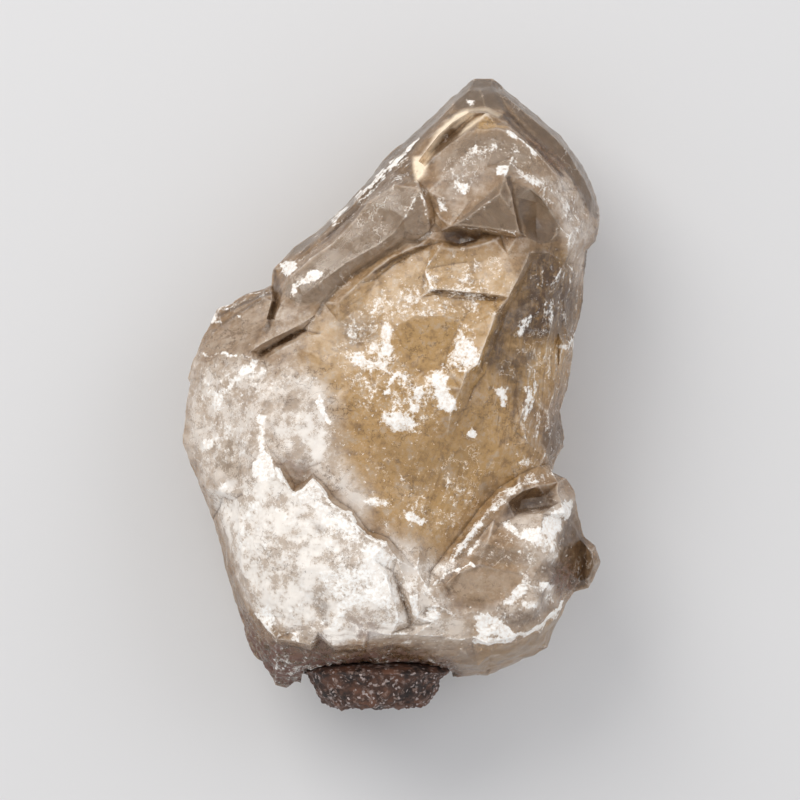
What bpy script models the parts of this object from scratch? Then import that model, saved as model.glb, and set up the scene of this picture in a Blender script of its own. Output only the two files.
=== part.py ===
"""A citrine crystal that lies on its back, with the remnant of its host rock at the base.

+Y runs from the broken base to the point, +X is to the right of somebody who looks down on the
front, and +Z is up. The crystal rests on a flat face of its back. Points are drawn in millimetres,
with the height above the resting face as the third number, and turned to metres at the end.
"""

import bmesh
import bpy
from mathutils import Vector, noise
from mathutils.geometry import delaunay_2d_cdt

MM = 0.001

# Driving dimensions, in millimetres
CRYSTAL_LENGTH = 109.5
CRYSTAL_WIDTH = 75.0
CRYSTAL_HEIGHT = 45.5
SEAT_GAP = 0.35

# The drawn size of the outline and the drawn height, which the sizes above stretch
DRAWN_LENGTH = 109.3
DRAWN_WIDTH = 75.1
DRAWN_HEIGHT = 45.3

# Longest edge left in the skin, and the roughness of broken, frosted and grown surfaces
EDGE_LENGTH = 3.7
GRAIN_DEPTH = 0.30
GRAIN_SIZE = 2.4
GRAIN_SHIFT = Vector((31.0, 7.0, 3.0))
SWELL_DEPTH = 0.35
SWELL_SIZE = 9.0
RESTING_TOLERANCE = 0.01
SHELL_FACE_UP = 0.3

# The girdle: where the front meets the back, clockwise from the point
OUTLINE = [
    (15.1, 56.8, 21), (18.2, 56.6, 21), (19.7, 55.6, 20.5), (22.5, 53.1, 20), (26.3, 50.0, 20),
    (30.6, 46.5, 20), (32.9, 43.7, 20), (34.6, 41.1, 20), (36.0, 38.2, 20), (36.9, 35.6, 19.5),
    (37.7, 32.8, 19), (37.6, 30.5, 19), (36.9, 27.6, 19), (35.5, 25.9, 19), (35.0, 23.0, 19),
    (34.7, 20.7, 18.5), (34.6, 16.7, 18.5), (34.0, 13.2, 18), (33.3, 10.4, 18), (32.6, 5.8, 18),
    (31.8, 1.2, 18), (30.3, -2.8, 18), (31.0, -5.9, 18.5), (31.0, -9.3, 19), (29.7, -11.9, 20),
    (29.1, -13.9, 21), (31.5, -15.0, 23), (32.9, -17.3, 24), (33.7, -20.8, 24),
    (34.6, -25.4, 24), (36.6, -27.1, 24.5), (37.6, -30.0, 24.5), (36.6, -33.1, 24),
    (35.5, -34.6, 23.5), (32.9, -35.4, 22.5), (31.4, -37.4, 22), (29.7, -41.5, 21.5),
    (28.3, -45.5, 21), (25.4, -47.2, 20.5), (20.8, -48.9, 20), (17.4, -50.3, 20),
    (11.6, -50.7, 20), (4.0, -51.0, 20), (-6.0, -51.2, 20), (-14.0, -51.4, 20),
    (-17.4, -51.8, 21), (-18.8, -52.5, 21), (-20.8, -52.1, 21), (-22.2, -49.8, 21),
    (-24.5, -46.6, 21), (-26.2, -43.2, 21), (-27.4, -39.2, 21), (-28.8, -34.0, 21.5),
    (-30.6, -27.1, 22), (-32.0, -22.5, 22.5), (-33.7, -17.9, 23), (-35.4, -13.9, 23),
    (-36.6, -11.0, 23), (-37.4, -8.7, 23), (-37.2, -5.9, 23), (-36.6, -1.3, 23),
    (-36.0, 2.2, 23.5), (-36.3, 2.9, 23.5), (-35.7, 5.8, 24), (-34.0, 9.8, 24.5),
    (-31.7, 13.8, 24.5), (-31.1, 15.2, 24.5), (-26.8, 17.5, 25), (-21.4, 19.5, 26),
    (-21.2, 22.4, 25), (-20.5, 23.6, 24), (-17.4, 26.4, 23), (-13.6, 29.0, 22.5),
    (-7.9, 34.5, 22), (-3.3, 39.3, 22), (-1.6, 41.9, 21.5), (5.3, 48.0, 21), (9.9, 52.3, 21),
    (13.9, 56.0, 21),
]

# The same points as keys, by which the two sides share their girdle
GIRDLE_KEYS = {(round(x, 3), round(y, 3), round(z, 3)) for x, y, z in OUTLINE}

# Edges of the front, each named for what it is on the crystal
FRONT_EDGES = {
    "bevel right of the point": [
        (21.0, 53.2, 26), (25.3, 49.5, 27), (29.3, 46.1, 27), (32.1, 42.8, 26.5),
        (34.4, 39.0, 26), (36.0, 35.4, 24.5), (36.6, 31.2, 23), (35.9, 28.2, 23),
    ],
    "crease right of the point": [
        (18.0, 55.5, 23.5), (18.9, 54.0, 26), (20.0, 51.8, 28), (22.0, 49.3, 29),
        (24.5, 46.9, 29), (27.5, 44.6, 28.5), (29.8, 42.4, 28.5), (31.8, 39.9, 28),
        (33.6, 37.0, 27.5), (35.1, 34.2, 26.5), (35.6, 32.4, 25.5),
    ],
    "strip below the crease": [
        (19.5, 50.6, 30), (21.4, 48.4, 31), (24.0, 45.9, 31), (26.8, 43.4, 30.8),
        (28.8, 41.2, 30.6), (30.5, 39.4, 30.4),
    ],
    "edge of the dome": [
        (6.2, 40.4, 34.5), (8.0, 42.4, 34.5), (10.4, 44.6, 34.5), (13.2, 46.5, 35),
        (15.4, 47.1, 35.4), (19.0, 47.1, 35.6), (21.4, 46.7, 35.6), (23.3, 45.2, 35.8),
        (25.9, 43.0, 35.6), (27.8, 40.9, 35.2), (29.3, 39.2, 34.4), (30.8, 36.4, 33),
    ],
    "left leg of the inner point": [(16.9, 50.0, 32.4), (15.6, 48.3, 33), (15.4, 47.1, 35.4)],
    "right leg of the inner point": [(16.9, 50.0, 32.4), (18.4, 48.4, 33), (19.0, 47.1, 35.6)],
    "foot of the cap": [
        (8.9, 48.9, 27.8), (11.4, 50.4, 28.8), (14.0, 50.9, 29.8), (16.9, 51.0, 30.4),
        (19.5, 50.6, 30),
    ],
    "gully left of the inner point": [
        (16.9, 50.0, 32.4), (14.3, 49.5, 30.2), (11.9, 47.6, 30), (9.6, 45.6, 30),
        (7.4, 43.3, 30.4), (5.6, 41.2, 31.2),
    ],
    "splintered edge": [
        (14.0, 50.3, 31), (11.0, 48.6, 31.2), (8.6, 46.4, 31.4), (6.4, 43.6, 31.8),
        (4.9, 41.4, 32.6), (4.4, 38.4, 34.8),
    ],
    "bevel left of the point": [
        (13.9, 54.4, 25.5), (11.0, 51.8, 26.8), (8.4, 49.2, 27.2), (4.9, 45.5, 28),
        (1.0, 42.0, 28.5), (-2.0, 38.9, 28.6), (-4.8, 36.0, 28.6), (-7.6, 33.0, 28.4),
        (-12.4, 28.6, 28), (-16.2, 25.5, 27.6), (-19.2, 23.0, 27.4),
    ],
    "crease along the left bevel": [
        (3.8, 43.4, 29.4), (0.2, 40.0, 29.8), (-3.4, 36.2, 29.8), (-7.0, 32.2, 29.8),
        (-11.6, 27.8, 29.6), (-15.6, 24.6, 29.2), (-18.9, 21.9, 28.8),
    ],
    "top edge of the long slab": [
        (5.2, 36.4, 38.4), (0.6, 37.2, 36.4), (-3.8, 34.4, 35.8), (-6.5, 30.9, 35.4),
        (-10.5, 26.7, 34.8), (-14.5, 23.9, 34.2), (-17.6, 21.2, 33.4), (-19.5, 18.6, 32),
    ],
    "fold in the slab": [
        (5.2, 36.4, 38.4), (2.3, 31.2, 37.8), (0.4, 28.6, 37), (-2.6, 26.4, 36.6),
        (-8.0, 23.4, 36), (-12.0, 20.4, 35.6), (-15.6, 17.6, 35),
    ],
    "foot of the slab": [
        (6.6, 28.8, 35.8), (4.8, 27.4, 35.4), (2.4, 27.4, 35.4), (-0.6, 25.4, 35.2),
        (-4.0, 23.2, 35), (-7.6, 20.9, 34.8), (-10.0, 18.8, 34.8), (-12.2, 16.4, 34.8),
        (-13.4, 14.2, 35),
    ],
    "lip of the hollow": [
        (7.0, 27.8, 36.4), (4.0, 26.1, 36.9), (0.0, 24.2, 37.1), (-3.0, 22.0, 37.1),
        (-6.2, 19.4, 37), (-9.4, 16.2, 36.8),
    ],
    "fold below the lip": [(7.4, 26.6, 36), (3.6, 24.8, 36), (0.4, 22.9, 36.1), (-2.6, 20.6, 36.2)],
    "bright strip beside the slab": [(5.2, 36.4, 38.4), (6.4, 33.0, 37.8), (6.9, 30.2, 36.8)],
    "second strip": [(6.6, 36.0, 37.2), (7.6, 33.0, 36.6), (7.8, 30.4, 36)],
    "roof of the large triangle": [
        (20.2, 38.6, 42.6), (16.8, 36.6, 40.2), (13.4, 33.6, 39.2), (10.7, 29.9, 39.2),
    ],
    "right side of the triangle": [
        (20.2, 38.6, 42.6), (21.4, 35.0, 42.2), (22.2, 31.6, 41.8), (22.8, 28.8, 41.2),
    ],
    "fold in the triangle": [(19.3, 35.4, 42.6), (16.4, 33.4, 41.6), (13.4, 31.2, 40.6)],
    "lower edge of the triangle": [
        (10.7, 29.9, 39.2), (13.0, 29.9, 40), (16.0, 29.6, 40.4), (20.0, 29.1, 41),
        (22.8, 28.8, 41.2),
    ],
    "pocket under the triangle": [
        (9.0, 29.0, 36), (12.6, 28.7, 35.6), (16.0, 28.6, 36), (19.6, 28.2, 37.4),
        (22.4, 27.9, 38.8),
    ],
    "floor of the pocket": [(9.4, 27.3, 36.4), (12.2, 26.9, 36), (15.0, 27.6, 36.4)],
    "lip of the pocket": [(8.8, 26.0, 38), (12.2, 25.7, 38.3), (15.6, 26.4, 38.3), (18.6, 27.3, 38.4)],
    "rim of the lens face": [
        (21.8, 37.4, 41), (24.8, 36.4, 39.6), (26.8, 34.7, 38.4), (28.4, 32.6, 37.2),
        (29.6, 30.6, 36), (29.6, 28.4, 35.2), (28.6, 27.2, 35), (26.2, 27.2, 36.2),
        (24.2, 28.0, 38), (23.0, 31.4, 39.8), (22.2, 35.0, 40.4), (21.8, 37.4, 41),
    ],
    "shoulder band": [
        (-30.8, 14.2, 26), (-29.4, 15.2, 26.4), (-26.0, 16.8, 27.4), (-22.8, 18.2, 28.6),
    ],
    "shoulder face": [
        (-33.0, 9.4, 26.6), (-30.3, 12.2, 28), (-26.6, 14.8, 30), (-22.6, 17.0, 31.6),
        (-21.4, 16.6, 32.2), (-22.2, 13.4, 33.2), (-23.6, 10.6, 34), (-25.0, 7.6, 34.2),
        (-30.0, 7.2, 30.6), (-34.0, 6.8, 26.4), (-33.0, 9.4, 26.6),
    ],
    "notch beside the shoulder": [(-20.4, 19.2, 28.4), (-20.6, 16.8, 30.4), (-21.5, 13.6, 31.8)],
    "bank of the notch": [(-19.5, 18.6, 32), (-19.6, 16.0, 33.6), (-20.6, 13.2, 34.4)],
    "slit": [(-23.3, 7.3, 33.2), (-20.4, 9.0, 33.4), (-17.9, 10.3, 33.8), (-15.7, 11.5, 34.4)],
    "upper bank of the slit": [
        (-23.2, 8.9, 34.8), (-20.7, 10.2, 35.2), (-18.1, 11.5, 35.5), (-15.8, 12.7, 35.7),
    ],
    "lower bank of the slit": [
        (-22.8, 6.2, 35), (-19.8, 7.9, 35.6), (-17.3, 9.2, 36), (-15.0, 10.5, 36.1),
    ],
    "ledge in the hollow": [(7.2, 18.7, 39.4), (11.0, 18.5, 39.7), (15.0, 18.1, 40.1), (19.4, 17.6, 40.8)],
    "shadow of the ledge": [(7.9, 17.8, 38.4), (11.2, 17.2, 38), (15.2, 16.9, 38.2), (18.4, 16.6, 39.4)],
    "honey window": [
        (1.2, 12.4, 39.3), (4.5, 14.0, 39.3), (9.5, 13.9, 39.5), (12.6, 12.6, 39.7),
        (10.5, 9.0, 39.6), (9.4, 5.3, 39.7), (5.5, 3.9, 39.7), (2.0, 5.9, 39.5),
        (0.6, 9.2, 39.3), (1.2, 12.4, 39.3),
    ],
    "spine": [
        (22.8, 20.8, 40.6), (20.8, 17.2, 41.4), (18.8, 14.5, 41.8), (17.4, 10.5, 42.2),
        (16.2, 7.8, 42.4), (15.4, 5.4, 42.3), (13.4, 3.9, 42), (12.3, 1.0, 41.6),
        (10.6, -2.8, 40.8),
    ],
    "foot of the spine": [
        (24.0, 20.2, 36.8), (22.0, 16.4, 37), (20.3, 13.6, 37.2), (19.0, 10.0, 37.6),
        (18.0, 6.6, 37.8), (16.6, 3.6, 38), (14.6, 0.8, 38.6), (13.0, -3.0, 39),
    ],
    "rib on the right": [(25.6, 24.0, 36), (27.6, 18.0, 35), (28.4, 11.8, 33.4), (27.8, 6.0, 32.4)],
    "groove on the right": [(31.1, 23.6, 31), (30.9, 17.0, 29), (30.0, 11.0, 29), (30.1, 5.0, 26.6)],
    "frosted rib": [(20.8, 10.6, 37), (23.0, 12.4, 36.8), (25.4, 14.6, 36)],
    "low rib": [(24.8, 4.8, 35), (24.4, 0.2, 35.2), (23.2, -4.6, 35)],
    "low groove": [(21.6, 4.0, 35.6), (21.8, 0.0, 35), (20.6, -5.0, 35.4)],
    "curved rim": [(30.9, 9.1, 28.8), (31.7, 8.6, 27), (32.4, 9.6, 23.6)],
    "white diagonal": [(-24.6, 5.6, 36), (-27.0, 3.6, 34.8), (-29.6, 0.6, 33.4), (-31.6, -2.2, 31.4)],
    "tan face on the left": [
        (-27.9, -6.6, 34.6), (-27.0, -11.6, 35.8), (-27.0, -15.4, 36.4), (-29.2, -14.2, 34),
        (-32.0, -12.8, 31.2), (-30.2, -10.2, 33), (-27.9, -6.6, 34.6),
    ],
    "white wedge": [
        (-24.0, -3.8, 38.8), (-23.7, -8.0, 39.4), (-24.2, -12.6, 40.2),
    ],
    "right side of the wedge": [(-22.5, -3.9, 38.8), (-22.3, -8.4, 40.4), (-20.5, -12.9, 43)],
    "pale face": [
        (-20.0, -2.8, 39.2), (-13.2, -0.9, 39.4), (-11.4, -3.2, 39.6), (-10.2, -8.0, 40),
        (-12.2, -12.0, 40.4), (-15.2, -13.0, 40.6), (-18.9, -10.8, 40.4), (-20.9, -6.4, 39.6),
        (-20.0, -2.8, 39.2),
    ],
    "brow of the white face": [
        (-20.5, -12.9, 43), (-18.9, -15.2, 43.3), (-17.4, -17.7, 43.6), (-15.6, -16.9, 43.7),
        (-13.9, -15.3, 43.5), (-12.8, -16.5, 43.7), (-11.3, -18.4, 43.9), (-9.9, -19.8, 44.1),
        (-7.3, -21.2, 44.2), (-6.0, -23.5, 44.3), (-4.8, -24.9, 44.3), (-1.0, -26.4, 43.9),
        (1.0, -29.0, 43.2),
    ],
    "foot of the brow": [
        (-19.5, -12.2, 41), (-18.0, -14.4, 41.2), (-17.0, -16.2, 41.3), (-15.6, -15.6, 41.5),
        (-13.9, -14.1, 41.4), (-12.1, -15.8, 41.4), (-10.6, -17.6, 41.5), (-9.2, -18.9, 41.6),
        (-6.6, -20.4, 41.5), (-5.1, -22.9, 41.4), (-4.0, -24.1, 41.3), (-0.6, -25.3, 41),
        (1.8, -28.0, 40.8),
    ],
    "left edge of the white face": [
        (-24.2, -12.6, 40.2), (-26.2, -17.6, 38.4), (-27.4, -21.4, 37), (-26.6, -26.0, 38),
        (-26.4, -31.0, 36.8), (-25.4, -35.6, 35.8), (-23.8, -39.4, 35.6),
    ],
    "ledge on the left": [(-33.0, -16.8, 29.4), (-30.0, -17.2, 33), (-27.4, -17.6, 36.4)],
    "foot of the left ledge": [(-32.6, -17.9, 28), (-30.0, -18.3, 31), (-28.2, -18.8, 33.6)],
    "first flute": [(-28.0, -33.0, 28.6), (-26.9, -37.6, 28.6), (-24.8, -42.6, 29), (-22.2, -47.0, 29.4)],
    "rib between the flutes": [
        (-27.4, -30.6, 33), (-26.5, -36.0, 32.4), (-24.8, -40.6, 32.6), (-22.0, -44.6, 33),
        (-20.4, -47.6, 32.6),
    ],
    "gully in the white face": [
        (0.4, -31.4, 42.4), (1.6, -34.6, 41.2), (2.7, -38.0, 40.4), (3.6, -41.0, 39.8),
    ],
    "left bank of the gully": [(-0.8, -32.2, 44.5), (0.3, -36.0, 44.1), (1.3, -39.8, 42.6)],
    "right bank of the gully": [(2.2, -32.4, 42.8), (3.4, -36.0, 43.2), (4.6, -39.4, 42.2)],
    "lower edge of the white face": [
        (-23.8, -39.4, 35.6), (-20.3, -43.4, 38.2), (-17.2, -43.6, 39.6), (-14.3, -44.6, 40),
        (-13.0, -42.0, 41.6), (-10.3, -44.5, 41), (-5.0, -44.3, 41.5), (-4.0, -42.0, 42.4),
        (0.0, -42.4, 41.6), (4.2, -42.6, 40.4), (8.6, -42.8, 39.6), (12.6, -43.6, 38.8),
    ],
    "foot of the white face": [
        (-20.6, -44.8, 35.4), (-17.0, -45.1, 36.4), (-14.2, -45.9, 36.8), (-12.7, -44.2, 38),
        (-10.0, -45.8, 37.6), (-4.4, -45.6, 38), (0.0, -44.6, 38.6), (4.4, -44.2, 38.4),
        (8.8, -44.6, 37.4), (12.6, -45.4, 36.4),
    ],
    "valley before the small crystal": [
        (26.6, -12.7, 29.6), (23.0, -14.2, 32.8), (19.0, -16.8, 33.6), (15.6, -20.6, 34.4),
        (12.8, -24.2, 35.4), (9.8, -28.0, 36.6), (7.0, -31.6, 38.4),
    ],
    "outer ridge of the small crystal": [
        (28.4, -14.0, 27.5), (25.6, -14.6, 31.6), (22.8, -15.8, 34.4), (19.6, -18.4, 36.2),
        (17.0, -21.3, 37), (15.0, -23.6, 37.6), (12.4, -27.0, 38.2), (10.6, -30.0, 38.6),
        (8.7, -32.6, 39.2),
    ],
    "inner ridge of the small crystal": [
        (29.8, -15.8, 29.5), (26.2, -16.3, 33), (23.6, -17.2, 35), (21.0, -19.2, 36.2),
        (18.4, -22.1, 36.8), (16.0, -25.0, 37.2), (13.9, -28.2, 38), (11.4, -31.2, 39),
        (9.6, -33.8, 39.4),
    ],
    "hollow of the small crystal": [
        (23.4, -18.8, 31.6), (27.6, -18.2, 31), (27.8, -19.8, 31.4), (23.0, -20.4, 31.8),
        (23.4, -18.8, 31.6),
    ],
    "white prow": [
        (19.6, -23.0, 36.6), (22.0, -21.7, 36), (27.0, -21.3, 36), (30.2, -19.4, 33),
    ],
    "lower side of the prow": [
        (19.6, -23.0, 36.6), (22.2, -25.2, 38), (25.4, -27.0, 38.8), (29.0, -26.8, 36.4),
    ],
    "clear window": [
        (10.2, -34.8, 39.2), (12.4, -31.5, 39.6), (15.6, -30.2, 39.8), (19.6, -31.2, 39.6),
        (23.2, -31.9, 38.8), (20.6, -35.0, 39), (17.6, -36.8, 39.1), (13.4, -36.5, 38.9),
        (10.2, -34.8, 39.2),
    ],
    "small window": [
        (14.8, -27.9, 38), (17.4, -25.8, 38), (20.6, -27.7, 38.8), (16.0, -29.0, 39),
        (14.8, -27.9, 38),
    ],
    "edge of the low white face": [
        (14.2, -38.6, 39.6), (14.8, -43.2, 38.4), (17.0, -44.0, 38), (21.8, -43.2, 37.4),
        (25.6, -41.4, 35.6), (28.6, -39.0, 32), (30.2, -37.2, 27.5),
    ],
    "foot of the low white face": [
        (14.6, -44.8, 35.2), (18.0, -45.4, 34.4), (22.6, -44.5, 33.6), (26.6, -42.4, 31.4),
        (29.2, -40.0, 27.4),
    ],
    "dark flank": [(31.4, -22.4, 30.6), (31.8, -27.0, 30), (32.0, -32.2, 28)],
    "groove before the knob": [(34.0, -26.0, 26), (34.4, -30.0, 25.2), (34.2, -33.4, 24.6)],
    "crown of the knob": [(35.9, -28.2, 27.4), (36.4, -30.6, 27.4), (35.5, -32.8, 26.4)],
}

# Single high and low spots of the front
FRONT_SPOTS = [
    (16.4, 53.4, 28), (12.6, 52.2, 27.4),
    (15.0, 44.0, 37.8), (18.4, 44.0, 38.2), (11.8, 41.6, 37), (21.8, 42.4, 38), (25.0, 40.4, 37.4),
    (17.0, 40.4, 39.6), (13.4, 38.4, 38.6), (23.4, 38.4, 40), (27.2, 37.6, 37), (9.2, 38.2, 37.4),
    (10.4, 34.4, 38.2), (8.8, 31.2, 37.4), (26.2, 31.2, 35.6), (26.0, 34.0, 36.6),
    (33.6, 36.2, 30.2), (32.0, 32.6, 32.6), (34.0, 30.6, 29.4), (31.8, 28.0, 33.4),
    (34.2, 26.6, 27), (33.2, 21.6, 26.6), (28.2, 25.2, 35.4), (24.8, 25.2, 38),
    (20.6, 25.0, 38.8), (16.2, 23.6, 38.2), (11.4, 23.2, 37.6), (6.0, 22.2, 37.4),
    (1.0, 19.6, 37.2), (-4.6, 16.6, 37.2), (5.4, 17.2, 38), (-1.4, 14.6, 38),
    (-9.2, 12.8, 36.4), (-12.4, 10.8, 36.2), (-8.0, 8.8, 37.2), (-12.6, 6.6, 37.4),
    (-3.0, 8.8, 38.8), (-5.4, 4.2, 39), (-10.0, 2.6, 38.8), (-15.6, 4.2, 38.2),
    (-19.2, 2.6, 38.2), (-16.6, 14.8, 35.4), (-17.4, 18.4, 34.6), (-1.0, 3.0, 39.4),
    (14.6, 12.0, 41.2), (13.2, 7.6, 41.4), (7.6, 1.8, 41.2), (3.6, 0.6, 40.4), (8.6, -1.8, 40.8),
    (20.6, 21.6, 39.8), (12.6, 20.8, 38.8), (23.6, 9.2, 35.6), (20.0, 6.0, 36.8),
    (32.6, 17.6, 25.4), (31.4, 12.4, 27), (29.6, 2.0, 28), (28.2, -3.4, 30.6),
    (18.2, -1.2, 37.4), (17.2, -6.4, 37.4), (24.2, -8.4, 33.6), (28.8, -7.6, 27),
    (27.4, -11.0, 29.4), (20.4, -9.6, 35.4), (19.4, -13.4, 34.8),
    (1.0, -3.6, 39.8), (-4.0, -3.2, 39.6), (-7.6, -6.0, 39.6), (4.6, -6.8, 39.2),
    (10.0, -7.6, 38.8), (-7.4, -12.4, 40.2), (-2.4, -9.4, 39.4), (5.4, -12.6, 38.8),
    (-5.6, -16.6, 40.4), (0.4, -16.2, 39.6), (11.2, -13.6, 37.4), (15.2, -10.4, 37),
    (14.8, -15.4, 35.6), (6.4, -18.6, 38.4), (-1.6, -21.6, 40.8), (3.6, -22.8, 39.8),
    (9.6, -21.2, 37), (5.0, -27.4, 39.6), (7.0, -25.0, 38.4),
    (-33.8, 3.0, 28.4), (-31.4, 4.4, 30.6), (-34.8, -1.4, 27.4), (-35.2, -6.4, 26.8),
    (-33.6, -8.6, 29.8), (-31.6, -8.2, 31.8), (-30.6, -4.6, 32.4), (-27.6, -1.0, 34.6),
    (-24.6, 1.8, 36.2), (-21.8, 3.8, 36.6), (-22.0, -0.8, 38.6), (-25.6, -9.6, 38),
    (-33.8, -13.0, 28.4), (-31.2, -15.4, 32.6), (-16.2, -7.4, 40.2), (-15.8, 0.8, 38.8),
    (-9.4, -1.4, 39.2), (-14.6, -13.6, 41),
    (-22.6, -18.4, 41.6), (-17.6, -22.4, 44), (-11.6, -24.8, 44.8), (-22.6, -26.4, 41.6),
    (-16.4, -31.0, 44), (-8.4, -30.0, 45.3), (-22.4, -34.4, 40), (-13.6, -37.4, 42.6),
    (-7.0, -37.6, 43.8), (-3.4, -29.0, 45), (-18.4, -39.6, 40.6), (-3.0, -36.6, 44.2),
    (-29.8, -22.4, 31.6), (-29.0, -27.2, 31), (-29.2, -30.4, 28),
    (4.6, -31.0, 41.6), (6.6, -34.8, 42.4), (8.6, -37.6, 41.4), (7.4, -40.4, 41),
    (11.6, -39.4, 40), (-16.6, -41.8, 40),
    (29.8, -17.6, 30.6), (30.8, -21.0, 33.2), (26.6, -24.2, 37.4), (23.6, -28.6, 38.4),
    (27.0, -29.6, 37.4), (24.6, -33.6, 38.8), (28.2, -33.2, 36), (26.0, -36.6, 38.2),
    (22.4, -37.6, 38.4), (18.6, -39.0, 39.4), (30.4, -34.2, 31), (23.6, -40.2, 38),
    (16.0, -33.4, 39.9), (20.4, -46.8, 30), (25.8, -44.8, 27.6), (15.6, -48.4, 28.6),
    (10.4, -47.8, 32), (5.0, -47.2, 33.4), (-2.0, -47.6, 34), (-9.0, -48.0, 33.6),
    (-15.4, -47.8, 34), (-17.8, -50.0, 29.6), (-20.6, -50.2, 27.4), (-13.4, -50.2, 28),
]

# The flat face of the back that the crystal rests on
RESTING_FACE = [
    (-18, -30, 0), (10, -35, 0), (20, -10, 0), (18, 20, 0), (5, 30, 0), (-15, 12, 0), (-22, -8, 0),
]

# Edges of the back: worn prism and point faces that run out from the resting face
BACK_EDGES = {
    "resting face": RESTING_FACE + RESTING_FACE[:1],
    "long edge to the point": [(18, 20, 0), (21, 33, 5), (19.5, 45, 11), (17.4, 53.4, 16.5)],
    "left edge to the point": [(5, 30, 0), (9, 40, 8), (13.4, 50.4, 15)],
    "edge to the shoulder": [(-15, 12, 0), (-22.6, 14.4, 9), (-27.4, 15, 17)],
    "edge to the left flank": [(-22, -8, 0), (-29.6, -7.4, 9), (-34.4, -7.6, 16.5)],
    "edge to the left heel": [(-18, -30, 0), (-22.6, -37.4, 9), (-24.4, -42, 14.5)],
    "edge to the right heel": [(10, -35, 0), (14, -42.6, 8), (17.4, -47.4, 14)],
    "edge to the waist": [(20, -10, 0), (25.4, -10.6, 8), (28, -12, 14)],
    "growth step": [(-14.6, -34.4, 3), (-6, -38.6, 3.6), (4, -39.6, 3.2)],
    "foot of the growth step": [(-14.8, -36, 5.6), (-6, -40.4, 6.4), (4.6, -41.2, 5.6)],
    "step near the point": [(10.6, 34, 2.8), (16, 36.4, 4.4), (20.2, 36.2, 6)],
    "foot of the step near the point": [(10.8, 35.6, 5.6), (16, 38, 7), (19.4, 38, 7.6)],
}

BACK_SPOTS = [
    (-9.6, 22.6, 7.4), (-16, 20.4, 11), (27.4, 28, 8), (30.6, 13, 9), (28.2, 0, 8.4), (33, 35, 13.6),
    (28.4, 43.2, 14), (2, 38.4, 10.6), (-5, 31.2, 11), (-33, 3.4, 14), (-30.4, -18.4, 12),
    (-27.2, -30.4, 11.6), (-11, -45.4, 9), (1, -46.6, 9), (22.4, -43, 12.4), (26.6, -37, 12),
    (31, -30.4, 14), (29.4, -21, 12.6), (23.8, -26, 5.6), (-24.6, 2.6, 6.4), (33, 21.4, 13),
]

# Shallow shells broken out of the front: x, y, radius along x, radius along y, depth
SHELLS = [
    (-12.4, -38.0, 2.6, 4.4, 0.9), (-16.2, -13.2, 1.9, 2.2, 0.6), (5.6, 9.0, 5.2, 4.4, 0.35),
    (16.2, -33.6, 5.4, 3.2, 0.45), (26.4, 31.0, 2.6, 3.6, 0.5), (-29.2, -21.4, 2.4, 3.0, 0.5),
    (22.4, -4.0, 1.6, 3.4, 0.5), (13.0, -12.4, 3.4, 2.6, 0.4), (-7.2, 21.0, 2.2, 1.6, 0.5),
    (10.0, 21.4, 4.0, 1.4, 0.4), (-26.6, 11.4, 4.6, 2.4, 0.35), (18.6, 45.2, 2.4, 1.2, 0.3),
    (-1.4, -24.0, 2.2, 1.2, 0.5), (7.0, -38.6, 1.3, 1.7, 0.5), (33.0, 33.0, 1.8, 3.2, 0.4),
]

# The remnant of host rock: a blocky lens set into the base, lumpy outside and broken off flat below
FOOT_CENTRE = Vector((-2.6, -50.6, 20.6))
FOOT_RADII = Vector((13.4, 8.4, 15.6))
FOOT_SEAT_DEPTH = 3.4
FOOT_FLOOR = -57.6
FOOT_BLOCKINESS = 2.7
FOOT_LUMP_DEPTH = 2.6
FOOT_LUMP_SIZE = 4.6
FOOT_SMALL_LUMP_SIZE = 2.0
FOOT_SMALL_LUMP_SHARE = 0.4
FOOT_FLOOR_WAVE = 0.5

# The lumps fade in over this part of the ball's radius, below the seat
FOOT_LUMPS_START = 0.15
FOOT_LUMPS_FADE = 0.25

CITRINE_COLOUR = (0.42, 0.30, 0.17, 1.0)
CITRINE_ROUGHNESS = 0.3
ROCK_COLOUR = (0.035, 0.025, 0.026, 1.0)
ROCK_ROUGHNESS = 0.6


def relief(outline, edges, spots):
    """Triangles inside the outline, with every drawn edge kept as an edge between faces."""
    drawn = list(outline)
    links = [(i, (i + 1) % len(outline)) for i in range(len(outline))]
    for line in edges.values():
        start = len(drawn)
        drawn.extend(line)
        links.extend((start + i, start + i + 1) for i in range(len(line) - 1))
    drawn.extend(spots)
    flat = [Vector((x, y)) for x, y, z in drawn]
    places, _, faces, sources, _, _ = delaunay_2d_cdt(flat, links, [], 1, 1e-5)
    points = []
    for place, source in zip(places, sources):
        if not source:
            raise ValueError(f"drawn edges cross near {place.x:.1f}, {place.y:.1f}")
        points.append(Vector((place.x, place.y, drawn[source[0]][2])))
    return points, faces


def add_relief(mesh, girdle, points, faces, facing_up):
    """Adds one side to the mesh. Points on the girdle are shared with the other side."""
    made = []
    for point in points:
        key = (round(point.x, 3), round(point.y, 3), round(point.z, 3))
        vert = girdle.get(key)
        if vert is None:
            vert = mesh.verts.new(point)
            if key in GIRDLE_KEYS:
                girdle[key] = vert
        made.append(vert)
    for face in faces:
        corners = [made[i] for i in face]
        a, b, c = (corner.co for corner in corners[:3])
        if ((b - a).cross(c - a).z > 0) != facing_up:
            corners.reverse()
        mesh.faces.new(corners)


def split_long_edges(mesh, longest):
    """Halves every edge above the given length until none is left."""
    while True:
        long_edges = [edge for edge in mesh.edges if edge.calc_length() > longest]
        if not long_edges:
            return
        bmesh.ops.subdivide_edges(mesh, edges=long_edges, cuts=1)
        bmesh.ops.triangulate(mesh, faces=mesh.faces[:], quad_method="SHORT_EDGE")


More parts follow.
